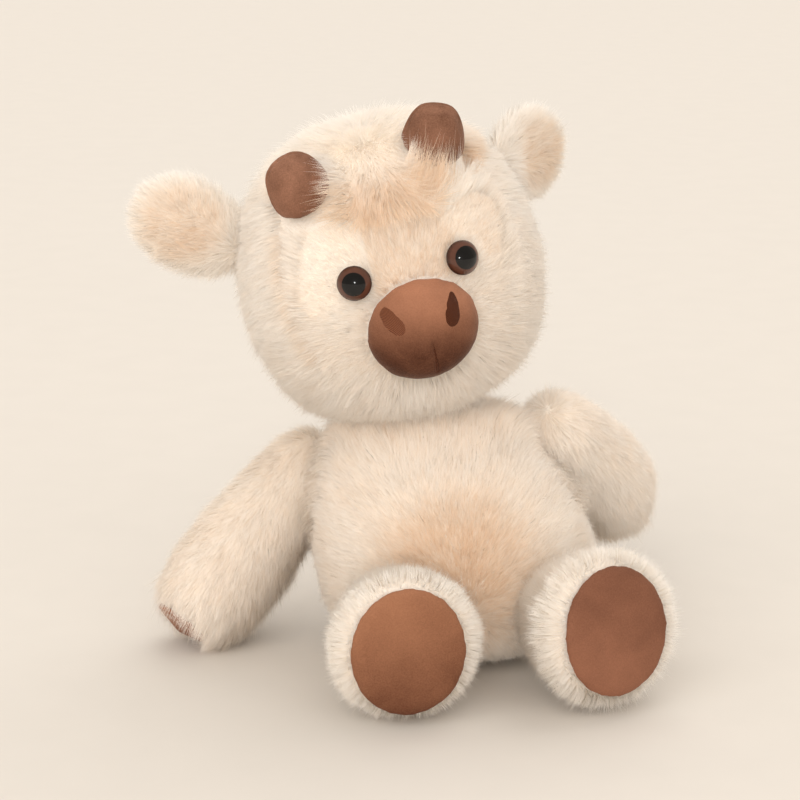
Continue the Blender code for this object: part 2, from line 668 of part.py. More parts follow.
def make_leg(side, sign, torso_form, torso_pieces, seat):
    """A leg on a ball in the torso's front, lying on the seat, with a velvet sole."""
    rise = radians(LEG_LEFT_RAISE_ANGLE if side == "left" else LEG_RIGHT_RAISE_ANGLE)
    lift = LEG_LEFT_LIFT if side == "left" else LEG_RIGHT_LIFT
    start = torso_centre(FOOT_HALF_HEIGHT * cos(rise) - LEG_REACH * sin(rise) + lift - SEAT_CUT)
    start.x += HIP_LEFT_OUT if side == "left" else -HIP_RIGHT_OUT
    spot, _ = surface_spot(torso_form, start, Vector((0, -1, 0)))
    centre = spot + Vector((0, -1, 0)) * (LEG_ROOT_RADIUS - LEG_SINK)
    splay = radians(LEG_LEFT_SPLAY_ANGLE if side == "left" else LEG_RIGHT_SPLAY_ANGLE)
    along = Vector((sign * sin(splay) * cos(rise), -cos(splay) * cos(rise), sin(rise)))
    joint = add_empty(side + "_hip_joint", place_facing(centre, along, Vector((0, 0, 1))), torso_frame)

    rings = limb_rings(LEG_ROOT_RADIUS, LEG_REACH, FOOT_HALF_WIDTH, FOOT_HALF_HEIGHT, LEG_SHARES)
    cage = ring_cage(side + "_leg", rings)
    fur = add_material(side + "_leg_skin", CREAM_FUR, 0.9)
    skin = add_skin(side + "_leg_skin", cage, fur, Matrix(), joint, PLAIN_LEVELS, FUR_WALL)
    add_filling(side + "_leg_filling", cage.copy(), Matrix(), joint, PLAIN_LEVELS, FUR_WALL)
    add_stuffing_hole(side + "_leg", skin, LEG_ROOT_RADIUS, joint)
    add_cut(skin, seat)

    low, high = LEG_REACH / 2, LEG_REACH * 2
    drum = drum_mesh(side + "_sole_pad", SOLE_HALF_WIDTH, SOLE_HALF_HEIGHT, low, high)
    outline = add_guide(side + "_sole_pad_outline", drum, Matrix(), joint)
    velvet = add_material(side + "_sole_pad", BROWN_VELVET, 0.85)
    add_cover(side + "_sole_pad", cage.copy(), velvet, Matrix(), joint, PLAIN_LEVELS, PAD_WALL, outline)
    add_socket(side + "_hip", LEG_ROOT_RADIUS, joint, torso_pieces)


clear_scene()
cow = add_collection("plush_cow")
cutters = add_collection("cutters")
torso_frame = add_empty("torso_frame", Matrix())

seat = seat_cutter()
torso_form, torso_skin, torso_filling = make_torso(seat)
neck_turn, neck_socket = make_neck(torso_form)
head, lift, head_form, head_skin, head_filling = make_head(neck_turn)
for piece in (torso_skin, torso_filling, head_skin, head_filling):
    add_cut(piece, neck_socket)
make_nose(head, lift, head_form)
for side, sign in SIDES:
    make_eye(side, sign, head, lift, head_form, head_skin, head_filling)
    make_horn(side, sign, head, lift, head_form)
    make_ear(side, sign, head, lift, head_form, head_skin)
    make_arm(side, sign, torso_form, (torso_skin, torso_filling))
    make_leg(side, sign, torso_form, (torso_skin, torso_filling), seat)
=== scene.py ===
import json
from math import cos, pi, radians, sin
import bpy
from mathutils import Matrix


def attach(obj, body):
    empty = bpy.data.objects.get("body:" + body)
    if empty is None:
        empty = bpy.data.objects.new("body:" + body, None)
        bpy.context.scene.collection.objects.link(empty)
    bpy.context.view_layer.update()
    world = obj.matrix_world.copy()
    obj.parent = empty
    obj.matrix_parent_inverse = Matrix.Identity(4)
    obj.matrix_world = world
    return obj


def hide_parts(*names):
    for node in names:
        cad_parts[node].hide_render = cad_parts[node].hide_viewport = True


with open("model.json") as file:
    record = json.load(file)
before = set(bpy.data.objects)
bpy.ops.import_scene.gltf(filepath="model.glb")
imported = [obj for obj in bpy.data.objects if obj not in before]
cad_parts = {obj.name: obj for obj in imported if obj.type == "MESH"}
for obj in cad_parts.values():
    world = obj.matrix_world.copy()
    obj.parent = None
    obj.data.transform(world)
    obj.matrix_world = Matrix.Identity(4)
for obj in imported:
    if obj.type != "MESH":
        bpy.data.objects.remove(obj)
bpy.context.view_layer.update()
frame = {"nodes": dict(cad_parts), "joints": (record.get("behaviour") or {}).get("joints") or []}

from types import SimpleNamespace

import bmesh
import bpy
import numpy as np
from mathutils import Matrix, Vector
from mathutils.bvhtree import BVHTree
from mathutils.kdtree import KDTree

mm = 0.001
joints = {joint["name"]: joint for joint in frame["joints"]}
sides = {"left": 1, "right": -1}  # the cow's own left lies along +X


# Node helpers

def colour(red, green, blue):  # screen values of 0 to 255 as the linear ones that the nodes take
    return tuple((value / 255) ** 2.2 for value in (red, green, blue)) + (1.0,)


def setInputs(node, values):
    for title, value in values.items():
        node.inputs[title].default_value = value


def setAll(item, **values):
    for key, value in values.items():
        setattr(item, key, value)
    return item


def addNode(tree, kind, inputs=None, **settings):
    node = setAll(tree.nodes.new("ShaderNode" + kind), **settings)
    setInputs(node, inputs or {})
    return node


def wire(tree, *links):  # each link: a node, its output, the next node, its input
    for source, out, target, into in links:
        tree.links.new(source.outputs[out], target.inputs[into])


def newMaterial(name, surface):
    material = bpy.data.materials.new(name)
    material.use_nodes = True
    shader = material.node_tree.nodes["Principled BSDF"]
    setInputs(shader, surface)
    return material, material.node_tree, shader


def addTexture(tree, kind, inputs, **settings):  # laid out in the object's own space
    texture = addNode(tree, "Tex" + kind, inputs, **settings)
    wire(tree, (addNode(tree, "TexCoord"), "Object", texture, "Vector"))
    return texture


def addRamp(tree, source, out, stops):
    ramp = addNode(tree, "ValToRGB")
    elements = ramp.color_ramp.elements
    while len(elements) < len(stops):
        elements.new(0.5)
    for element, (place, value) in zip(elements, stops):
        element.position = place
        element.color = value
    wire(tree, (source, out, ramp, "Fac"))
    return ramp


def addBump(tree, source, out, strength, distance, shader):
    bump = addNode(tree, "Bump", {"Strength": strength, "Distance": distance})
    wire(tree, (source, out, bump, "Height"), (bump, "Normal", shader, "Normal"))


# Camera, floor and light

studio = {
    "aim": (-0.0325, 0.0, 0.1285),
    "distance": 1.1,
    "elevation": 15,
    "lens": 99,
    "floorRadius": 9.0,
    "floorColour": (0.66, 0.60, 0.53),
    "floorGrain": 0.985,  # the darker share of its grain
    "lightColour": (1.0, 0.975, 0.94),
    "lightStrength": 0.85,
    "skyColour": (0.896, 0.807, 0.698),  # as the floor looks where it ends
    "reflected": 0.50,  # of the sky, in the eyes' gloss
    "suns": {  # strength, spread, turn
        "windowSun": (1.02, 50, (52, 0, -34)),
        "fillSun": (0.80, 80, (78, 0, 18)),
        "backSun": (1.0, 60, (-36, 0, -25)),
        "catchSun": (0.45, 8, (79, 0, 0)),  # the bright spot that the eyes reflect
    },
}


def addCamera():
    aim, lean = Vector(studio["aim"]), radians(studio["elevation"])
    data = bpy.data.cameras.new("frontCamera")
    data.lens = studio["lens"]
    data.sensor_width = 36
    camera = bpy.data.objects.new("frontCamera", data)
    camera.location = aim + studio["distance"] * Vector((0, -cos(lean), sin(lean)))
    camera.rotation_euler = (pi / 2 - lean, 0, 0)
    bpy.context.collection.objects.link(camera)
    bpy.context.scene.camera = camera


def addFloor():
    bpy.ops.mesh.primitive_circle_add(vertices=96, radius=studio["floorRadius"], fill_type="NGON")
    floor = bpy.context.object
    floor.name = "studioFloor"
    material, tree, shader = newMaterial("floorPaper", {"Roughness": 0.9, "Specular IOR Level": 0.2})
    grain = addTexture(tree, "Noise", {"Scale": 30})
    light = studio["floorColour"]
    dark = [value * studio["floorGrain"] for value in light]
    ramp = addRamp(tree, grain, "Fac", [(0.3, (*dark, 1)), (0.7, (*light, 1))])
    wire(tree, (ramp, "Color", shader, "Base Color"))
    floor.data.materials.append(material)


def addSun(name, strength, spread, turn):
    data = bpy.data.lights.new(name, "SUN")
    data.energy = strength
    data.angle = radians(spread)
    lamp = bpy.data.objects.new(name, data)
    lamp.rotation_euler = [radians(value) for value in turn]
    lamp.visible_glossy = name == "catchSun"
    bpy.context.collection.objects.link(lamp)


def addSky():  # one that lights, one that gloss reflects and one that the camera sees
    world = bpy.data.worlds.new("studioWorld")
    bpy.context.scene.world = world
    world.use_nodes = True
    tree = world.node_tree
    light = tree.nodes["Background"]
    setInputs(light, {"Color": (*studio["lightColour"], 1), "Strength": studio["lightStrength"]})
    sky = {"Color": (*studio["skyColour"], 1)}
    shown = addNode(tree, "Background", sky)
    dim = addNode(tree, "Background", {**sky, "Strength": studio["reflected"]})
    path = addNode(tree, "LightPath")
    mix = addNode(tree, "MixShader")
    gloss = addNode(tree, "MixShader")
    wire(
        tree,
        (path, "Is Glossy Ray", gloss, 0), (light, 0, gloss, 1), (dim, 0, gloss, 2),
        (path, "Is Camera Ray", mix, 0), (gloss, 0, mix, 1), (shown, 0, mix, 2),
        (mix, 0, tree.nodes["World Output"], "Surface"),
    )


addCamera()
addFloor()
for name, values in studio["suns"].items():
    addSun(name, *values)
addSky()
bpy.context.scene.view_settings.view_transform = "Standard"
print("studio ready")


# Reading meshes, and places on the cow

def vectorsOf(items, field):
    values = np.empty(len(items) * 3)
    items.foreach_get(field, values)
    return values.reshape(-1, 3)


def meshPoints(mesh):
    return vectorsOf(mesh.vertices, "co")


def meshNormals(mesh):
    return vectorsOf(mesh.vertices, "normal")


def setPoints(mesh, points):
    mesh.vertices.foreach_set("co", points.ravel())
    mesh.update()


def nodePoints(node):
    return meshPoints(frame["nodes"][node].data)


def nodeSpot(node):  # the middle of a node's points
    return Vector(nodePoints(node).mean(0))


def jointSpot(name):
    return Vector(joints[name]["pos_m"])


def facing(spot, outward, upward):  # a place whose Z points outward and whose Y points as nearly upward as it can
    along = Vector(outward).normalized()
    across = Vector(upward).cross(along).normalized()
    rise = along.cross(across)
    turned = Matrix((across, rise, along)).transposed()
    return Matrix.Translation(spot) @ turned.to_4x4()


def limbPlace(joint, pad, upward):
    spot = jointSpot(joint)
    return facing(spot, nodeSpot(pad) - spot, upward)


def earPlace(side):
    spot = jointSpot(side + "_ear_fold")
    across = Vector(joints[side + "_ear_fold"]["axis"])
    outward = (nodeSpot(side + "_ear_back") + nodeSpot(side + "_ear_lining")) / 2 - spot
    outward -= outward.dot(across) * across
    return facing(spot, outward, outward.cross(across))


def localPoints(place, points):
    matrix = np.array(place.inverted())
    return points @ matrix[:3, :3].T + matrix[:3, 3]


def localWays(place, ways):
    return ways @ np.array(place.to_3x3().inverted()).T


def worldWays(place, ways):
    return ways @ np.array(place.to_3x3()).T


head = {"turn": 11.5, "tilt": 14.0, "nod": 2.0, "forward": 0.010, "lift": 0.0015}  # degrees, and metres off the neck


def headPlace():
    pose = Matrix.Rotation(radians(head["turn"]), 4, "Z")
    pose @= Matrix.Rotation(radians(-head["tilt"]), 4, "Y")
    pose @= Matrix.Rotation(radians(-head["nod"]), 4, "X")
    lift = Matrix.Translation((0, -head["forward"], head["lift"]))
    return Matrix.Translation(jointSpot("neck_turn")) @ pose @ lift


headFrame = headPlace()


def headWay(x, y, z):  # a direction of the head's own, through space
    return headFrame.to_3x3() @ Vector((x, y, z))


headUp = headWay(0, 0, 1)


# Materials, and the node groups that several of them share

pile = {
    "tones": [  # cream to tan
        (0.0, colour(252, 247, 240)),
        (0.30, colour(250, 240, 228)),
        (0.62, colour(241, 219, 194)),
        (1.0, colour(214, 178, 140)),
    ],
    "rootShadeWarmth": {"Green": 1.25, "Blue": 1.6},  # painted shade at the root: how much faster than red these darken towards a hair's root
    "hair": {"rootShade": 0.92, "through": 0.45},  # rootShade is the painted shade at a hair's root; through, the share of light that a hair lets through to its far side
    "backing": {"tone": 0.28, "rootShade": 0.78, "grain": 900},
}
velvets = {  # light, dark, brushing, then painted light and shade, lighter along a way and darker against it: the node over whose height it fades, against which way, how much, from where
    "noseVelvet": (colour(166, 113, 86), colour(64, 35, 23), 60, "nose_velvet", (0, -0.1, 1), 0.76, 0.2),
    "hornVelvet": (colour(152, 108, 86), colour(98, 66, 50), 90, "right_horn_velvet", (-1, 0, 0.2), 0.3),
    "rightSoleVelvet": (colour(158, 108, 80), colour(92, 56, 40), 38, "right_sole_pad", (-0.25, 0, 1), 0.60),
    "leftSoleVelvet": (colour(146, 98, 75), colour(102, 66, 50), 42, "left_sole_pad", (-0.5, 0, -1), 0.55),
}


def newGroup(name, inputs, outputs):  # from each socket's name and kind
    group = bpy.data.node_groups.new(name, "ShaderNodeTree")
    for way, sockets in (("INPUT", inputs), ("OUTPUT", outputs)):
        for title, kind in sockets.items():
            group.interface.new_socket(name=title, in_out=way, socket_type="NodeSocket" + kind)
    return group, group.nodes.new("NodeGroupInput"), group.nodes.new("NodeGroupOutput")


def makePileGroup():  # the colour of one hair, from how tan it is and how far along it the point lies, with painted shade that darkens and warms it towards its root
    inputs = dict.fromkeys(("Tone", "Along", "Root Shade"), "Float")
    group, given, result = newGroup("pileColour", inputs, {"Color": "Color"})
    tones = addRamp(group, given, "Tone", pile["tones"])
    fade = addNode(group, "MapRange")
    warmRootShade = addNode(group, "CombineColor")
    shade = addNode(group, "Mix", {"Factor": 1.0}, data_type="RGBA", blend_type="MULTIPLY")
    wire(
        group,
        (given, "Along", fade, "Value"), (given, "Root Shade", fade, "To Min"), (fade, "Result", warmRootShade, "Red"),
        (tones, "Color", shade, "A"), (warmRootShade, "Color", shade, "B"), (shade, "Result", result, "Color"),
    )
    for channel, exponent in pile["rootShadeWarmth"].items():
        power = addNode(group, "Math", {1: exponent}, operation="POWER")
        wire(group, (fade, "Result", power, 0), (power, 0, warmRootShade, channel))
    return group


def makeNapGroup():  # short nap that lies lighter or darker where it has been brushed, with a fine grain, and painted light and shade that make it lighter along a given way and darker against it
    inputs = {"Light": "Color", "Dark": "Color", "Shade Way": "Vector"}
    inputs.update(dict.fromkeys(("Brushing", "Shade Low", "Shade High", "Shade Share"), "Float"))
    group, given, result = newGroup("velvetNap", inputs, {"Color": "Color", "Height": "Float"})
    place = addNode(group, "TexCoord")
    broad = addTexture(group, "Noise", {"Detail": 3, "Distortion": 0.6})
    fine = addTexture(group, "Noise", {"Scale": 1500, "Detail": 2})
    both = addNode(group, "Mix", {"Factor": 0.45}, data_type="FLOAT")
    reach = addNode(group, "MapRange", {"From Min": 0.34, "From Max": 0.66})
    # painted light and shade: how far each point lies along the given way sets how light it is
    lean = addNode(group, "VectorMath", operation="DOT_PRODUCT")
    height = addNode(group, "MapRange", interpolation_type="SMOOTHSTEP")
    faded = addNode(group, "Mix", data_type="FLOAT")
    mix = addNode(group, "Mix", data_type="RGBA")
    wire(
        group,
        (given, "Brushing", broad, "Scale"), (broad, "Fac", both, "A"), (fine, "Fac", both, "B"),
        (both, "Result", reach, "Value"),
        (place, "Object", lean, 0), (given, "Shade Way", lean, 1), (lean, "Value", height, "Value"),
        (given, "Shade Low", height, "From Min"), (given, "Shade High", height, "From Max"),
        (given, "Shade Share", faded, "Factor"), (reach, "Result", faded, "A"), (height, "Result", faded, "B"),
        (faded, "Result", mix, "Factor"), (given, "Dark", mix, "A"), (given, "Light", mix, "B"),
        (mix, "Result", result, "Color"), (fine, "Fac", result, "Height"),
    )
    return group


pileGroup = makePileGroup()
napGroup = makeNapGroup()


def pileMaterial(rootShade, through):  # the hairs' map holds tone across and the way along them upwards
    material, tree, shader = newMaterial("creamPile", {"Roughness": 0.7, "Specular IOR Level": 0.15})
    where = addNode(tree, "UVMap", uv_map="OFBake")
    split = addNode(tree, "SeparateXYZ")
    tones = addNode(tree, "Group", {"Root Shade": rootShade}, node_tree=pileGroup)
    glow = addNode(tree, "BsdfTranslucent")
    both = addNode(tree, "MixShader", {0: through})
    wire(
        tree,
        (where, "UV", split, "Vector"), (split, "X", tones, "Tone"), (split, "Y", tones, "Along"),
        (tones, "Color", shader, "Base Color"), (tones, "Color", glow, "Color"),
        (shader, 0, both, 1), (glow, 0, both, 2), (both, 0, tree.nodes["Material Output"], "Surface"),
    )
    return material


def backingMaterial(tone, rootShade, grain):  # the dense underfur that shows between the hairs; its colour is painted shade, tanner than the hairs and darkened at random over its grain by their root shade
    material, tree, shader = newMaterial("pileBacking", {"Roughness": 0.9, "Specular IOR Level": 0.1})
    noise = addTexture(tree, "Noise", {"Scale": grain, "Detail": 2})
    tones = addNode(tree, "Group", {"Tone": tone, "Root Shade": rootShade}, node_tree=pileGroup)
    addBump(tree, noise, "Fac", 0.5, 0.0008, shader)
    wire(tree, (noise, "Fac", tones, "Along"), (tones, "Color", shader, "Base Color"))
    return material


def velvetMaterial(name, light, dark, brushing, node, way, share, start=0.0):
    material, tree, shader = newMaterial(name, {
        "Roughness": 0.88,
        "Specular IOR Level": 0.15,
        "Sheen Weight": 0.15,
        "Sheen Roughness": 0.35,
        "Sheen Tint": (1.0, 0.80, 0.66, 1),
    })
    # painted light and shade over the node's height along the way
    heights = nodePoints(node) @ np.array(way, float)
    nap = addNode(tree, "Group", node_tree=napGroup)
    setInputs(nap, {
        "Light": light, "Dark": dark, "Brushing": brushing, "Shade Way": way, "Shade Share": share,
        "Shade Low": heights.min() + start * np.ptp(heights), "Shade High": heights.max(),
    })
    addBump(tree, nap, "Height", 0.6, 0.0004, shader)
    wire(tree, (nap, "Color", shader, "Base Color"))
    return material


def threadMaterial(name, light, dark):  # embroidery: close satin stitches
    material, tree, shader = newMaterial(name, {"Roughness": 0.6, "Specular IOR Level": 0.3})
    stitches = {"Scale": 700, "Distortion": 1.5, "Detail": 2}
    wave = addTexture(tree, "Wave", stitches, wave_type="BANDS", bands_direction="DIAGONAL")
    ramp = addRamp(tree, wave, "Fac", [(0.2, dark), (0.8, light)])
    addBump(tree, wave, "Fac", 0.7, 0.0003, shader)
    wire(tree, (ramp, "Color", shader, "Base Color"))
    return material


furMaterial = pileMaterial(**pile["hair"])
backing = backingMaterial(**pile["backing"])
velvet = {name: velvetMaterial(name, *values) for name, values in velvets.items()}
darkThread = threadMaterial("darkThread", colour(92, 46, 18), colour(60, 27, 9))
tonalThread = threadMaterial("tonalThread", colour(130, 78, 52), colour(88, 48, 30))


# Stuffed forms

cloth = {
    "wall": 0.0012,
    "frames": 16,
    "settings": {"quality": 4, "mass": 0.15, "tension_stiffness": 25, "compression_stiffness": 25},
}


def addModifier(piece, name, kind, **settings):
    return setAll(piece.modifiers.new(name, kind), **settings)


def evaluatedMesh(piece):
    graph = bpy.context.evaluated_depsgraph_get()
    return bpy.data.meshes.new_from_object(piece.evaluated_get(graph), depsgraph=graph)


def applyModifiers(piece):
    mesh = evaluatedMesh(piece)
    old = piece.data
    piece.modifiers.clear()
    piece.data = mesh
    bpy.data.meshes.remove(old)


def newPiece(name, mesh):
    piece = bpy.data.objects.new(name, mesh)
    bpy.context.collection.objects.link(piece)
    return piece


def meshFrom(form, name):
    mesh = bpy.data.meshes.new(name)
    form.to_mesh(mesh)
    form.free()
    return mesh


def tightSkin(points):  # the convex hull of some points, and nothing else
    form = bmesh.new()
    for point in points:
        form.verts.new(point)
    found = bmesh.ops.convex_hull(form, input=form.verts)
    spare = {item for item in found["geom_interior"] + found["geom_unused"] if isinstance(item, bmesh.types.BMVert)}
    bmesh.ops.delete(form, geom=list(spare), context="VERTS")
    return form


def puffUp(piece, pressure, cap):  # blows the cloth up a little, as its stuffing does
    sheet = addModifier(piece, "stuffing", "CLOTH")
    setAll(sheet.settings, use_pressure=True, uniform_pressure_force=pressure, **cloth["settings"])
    sheet.settings.effector_weights.gravity = 0
    sheet.collision_settings.use_collision = False
    setAll(sheet.point_cache, frame_start=1, frame_end=cloth["frames"])
    before = meshPoints(piece.data)
    scene = bpy.context.scene
    for step in range(1, cloth["frames"] + 1):
        scene.frame_set(step)
    mesh = evaluatedMesh(piece)
    move = meshPoints(mesh) - before
    far = np.linalg.norm(move, axis=1, keepdims=True)
    move *= np.minimum(1, cap / np.maximum(far, 1e-9))
    bpy.data.meshes.remove(mesh)
    piece.modifiers.clear()
    setPoints(piece.data, before + move)
    scene.frame_set(1)


def stuffed(name, nodes, voxel, inset, pressure, cap, smooth=4, fine=0):  # a form lists the last six
    skin = tightSkin(np.concatenate([nodePoints(node) for node in nodes]))
    piece = newPiece(name, meshFrom(skin, name))
    addModifier(piece, "even", "REMESH", mode="VOXEL", voxel_size=voxel)
    addModifier(piece, "soften", "SMOOTH", factor=0.5, iterations=smooth)
    addModifier(piece, "inset", "DISPLACE", mid_level=0, strength=-inset)
    applyModifiers(piece)
    puffUp(piece, pressure, cap)
    if fine:
        addModifier(piece, "fine", "SUBSURF", levels=fine, render_levels=fine)
        applyModifiers(piece)
    piece.data.shade_smooth()
    return piece


def cutBall(piece, spot, radius):
    bpy.ops.mesh.primitive_uv_sphere_add(segments=40, ring_count=20, radius=radius, location=spot)
    ball = bpy.context.object
    addModifier(piece, "socket", "BOOLEAN", operation="DIFFERENCE", object=ball)
    applyModifiers(piece)
    bpy.data.objects.remove(ball, do_unlink=True)


def addCloth(piece, wall):  # the fabric's own thickness, inwards
    addModifier(piece, "cloth", "SOLIDIFY", thickness=wall, offset=-1)
    applyModifiers(piece)
    piece.data.shade_smooth()


def dress(piece, material, body, *nodes):
    piece.data.materials.clear()
    piece.data.materials.append(material)
    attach(piece, body)
    if nodes:
        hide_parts(*nodes)
    return piece


def makePad(name, node, body, form, material):  # a stuffed patch without pile
    piece = stuffed(name, [node], *form)
    dress(piece, material, body, node)
    return piece


# Fur

fur = {
    "density": 4.2,  # hairs a square millimetre, before a region's own share
    "halfWidth": 0.00011,
    "taper": 0.75,  # of the width, lost towards the tip
    "clump": 0.0016,
    "shadeShare": 0.32,  # of the hairs, those that cast a shadow; the rest let the light in
    "mostFaces": 190000,  # triangles in one piece
    "length": (0.80, 0.34, 0.14),  # the least share of a region's length, what chance adds, what a patch adds
    "strays": {"share": 0.07, "length": 1.25, "lift": 0.25},
    "swirls": ((0.015, 0.22), (0.0040, 0.20)),  # size and strength, broad and fine
    "jitter": {"way": 0.11, "lift": 0.09, "roll": 0.30, "shading": 0.16, "tone": 0.06},
    "bend": (1.35, 0.7),  # of its lift at the root, and what a hair loses of it by the tip
    "lean": 0.30,  # how far the shading leans back against a hair's way
}


def softNoise(points, size, seed):  # smooth values from -1 to 1 through space
    cell = points / size + 500.0
    low = np.floor(cell).astype(np.int64)
    part = cell - low
    part = part * part * (3 - 2 * part)
    total = np.zeros(len(points))
    for corner in range(8):
        step = np.array([corner & 1, corner >> 1 & 1, corner >> 2 & 1])
        spot = low + step
        mixed = spot[:, 0] * 73856093 ^ spot[:, 1] * 19349663 ^ spot[:, 2] * 83492791 ^ (seed * 7919 + 31)
        mixed = (mixed ^ mixed >> 13) * 1274126177 & 0x7FFFFFFF
        value = (mixed >> 8 & 65535) / 32767.5 - 1
        total += value * np.where(step, part, 1 - part).prod(1)
    return total


def noiseWays(points, size, seed):
    return np.stack([softNoise(points, size, seed + index) for index in range(3)], axis=1)


def unit(ways):
    return ways / np.maximum(np.linalg.norm(ways, axis=-1, keepdims=True), 1e-9)


def along(ways, normals):  # the part of each way that lies in the surface
    return unit(ways - (ways * normals).sum(1, keepdims=True) * normals)


def farFrom(points, spot):
    return np.linalg.norm(points - np.array(spot), axis=1)


def smoothStep(value, low, high):
    share = np.clip((value - low) / (high - low), 0, 1)
    return share * share * (3 - 2 * share)


def scatter(mesh, count, random):  # random roots all over a mesh, with its smoothed normals
    mesh.calc_loop_triangles()
    corners = np.empty(len(mesh.loop_triangles) * 3, np.int64)
    mesh.loop_triangles.foreach_get("vertices", corners)
    corners = corners.reshape(-1, 3)
    points, normals = meshPoints(mesh), meshNormals(mesh)
    a, b, c = (points[corners[:, index]] for index in range(3))
    areas = np.linalg.norm(np.cross(b - a, c - a), axis=1) / 2
    chosen = np.searchsorted(np.cumsum(areas) / areas.sum(), random.random(count))
    chosen = np.minimum(chosen, len(areas) - 1)
    u, v = random.random(count), random.random(count)
    over = u + v > 1
    u[over], v[over] = 1 - u[over], 1 - v[over]
    shares = np.stack([1 - u - v, u, v], axis=1)[:, :, None]
    picked = corners[chosen]
    return (points[picked] * shares).sum(1), unit((normals[picked] * shares).sum(1))


def hairMesh(name, paths, widths, sides, normals, tones):  # each hair a flat ribbon that ends in a point
    count, bends = len(paths), paths.shape[1] - 1
    ends = 2 * bends + 1
    half = (widths[:, None] * (1 - fur["taper"] * (np.arange(bends) / bends) ** 1.5))[:, :, None]
    points = np.empty((count, ends, 3))
    points[:, 0 : 2 * bends : 2] = paths[:, :bends] - sides[:, :bends] * half
    points[:, 1 : 2 * bends : 2] = paths[:, :bends] + sides[:, :bends] * half
    points[:, -1] = paths[:, -1]
    faces = [corner + 2 * step for step in range(bends - 1) for corner in (0, 1, 3, 2)]
    faces += [2 * bends - 2, 2 * bends - 1, 2 * bends]
    loops = (np.arange(count)[:, None] * ends + np.array(faces)).ravel()
    starts = (np.arange(count)[:, None] * len(faces) + np.arange(bends) * 4).ravel()
    mesh = bpy.data.meshes.new(name)
    mesh.vertices.add(count * ends)
    mesh.vertices.foreach_set("co", points.ravel())
    mesh.loops.add(len(loops))
    mesh.loops.foreach_set("vertex_index", loops)
    mesh.polygons.add(len(starts))
    mesh.polygons.foreach_set("loop_start", starts)
    mesh.update(calc_edges=True)
    mesh.shade_smooth()
    places = np.empty((count, ends, 2))  # tone across, with a sliver of width, and the way along upwards
    places[:, :, 0] = np.clip(tones, 0.01, 0.99)[:, None] + np.append(np.tile([-0.004, 0.004], bends), 0.0)
    places[:, :, 1] = np.append(np.repeat(np.arange(bends) / bends, 2), 1.0) * 0.96 + 0.02
    layer = mesh.uv_layers.new(name="OFBake")
    layer.data.foreach_set("uv", places.reshape(-1, 2)[loops].astype(np.float32).ravel())
    mesh.normals_split_custom_set_from_vertices(np.repeat(normals[:, None], ends, axis=1).reshape(-1, 3))
    return mesh


def hairPaths(roots, normals, look, bends, random, seed):
    count, jitter, strays = len(roots), fur["jitter"], fur["strays"]
    least, chance, patchy = fur["length"]
    length = look["length"] * (least + chance * random.random(count))
    length *= 1 + patchy * softNoise(roots, 0.009, seed + 5)
    stray = random.random(count) < strays["share"]
    length[stray] *= strays["length"]
    (broad, much), (fine, little) = fur["swirls"]
    swirl = noiseWays(roots, broad, seed + 9) * much + noiseWays(roots, fine, seed + 21) * little
    swirl = look["calm"][:, None] * (swirl + jitter["way"] * random.normal(size=(count, 3)))
    way = along(look["way"] + swirl, normals)
    lift = np.radians(look["lift"] * (1 + 0.14 * softNoise(roots, 0.006, seed + 14)))
    lift += jitter["lift"] * random.normal(size=count)
    lift[stray] += strays["lift"]
    paths = np.empty((count, bends + 1, 3))
    paths[:, 0] = spot = roots
    for index in range(bends):
        angle = np.clip(lift * (fur["bend"][0] - fur["bend"][1] * (index + 0.5) / bends), 0.0, 1.5)[:, None]
        spot = spot + (way * np.cos(angle) + normals * np.sin(angle)) * (length / bends)[:, None]
        paths[:, index + 1] = spot
    return paths, way


def gatherClumps(paths, look, middles, random):  # neighbours lean together towards their tips
    tree = KDTree(len(middles))
    for index, middle in enumerate(middles):
        tree.insert(middle, index)
    tree.balance()
    nearest = np.array([tree.find(root)[1] for root in paths[:, 0]])
    size = np.maximum(np.bincount(nearest, minlength=len(middles)), 1)[:, None]
    pull = look["clump"] * (0.5 + 0.6 * random.random(len(paths)))
    shares = np.linspace(0, 1, paths.shape[1])
    for index in range(1, paths.shape[1]):
        sums = [np.bincount(nearest, paths[:, index, axis], len(middles)) for axis in range(3)]
        target = (np.stack(sums, axis=1) / size)[nearest]
        paths[:, index] += (target - paths[:, index]) * (pull * shares[index] ** 1.4)[:, None]
    return nearest


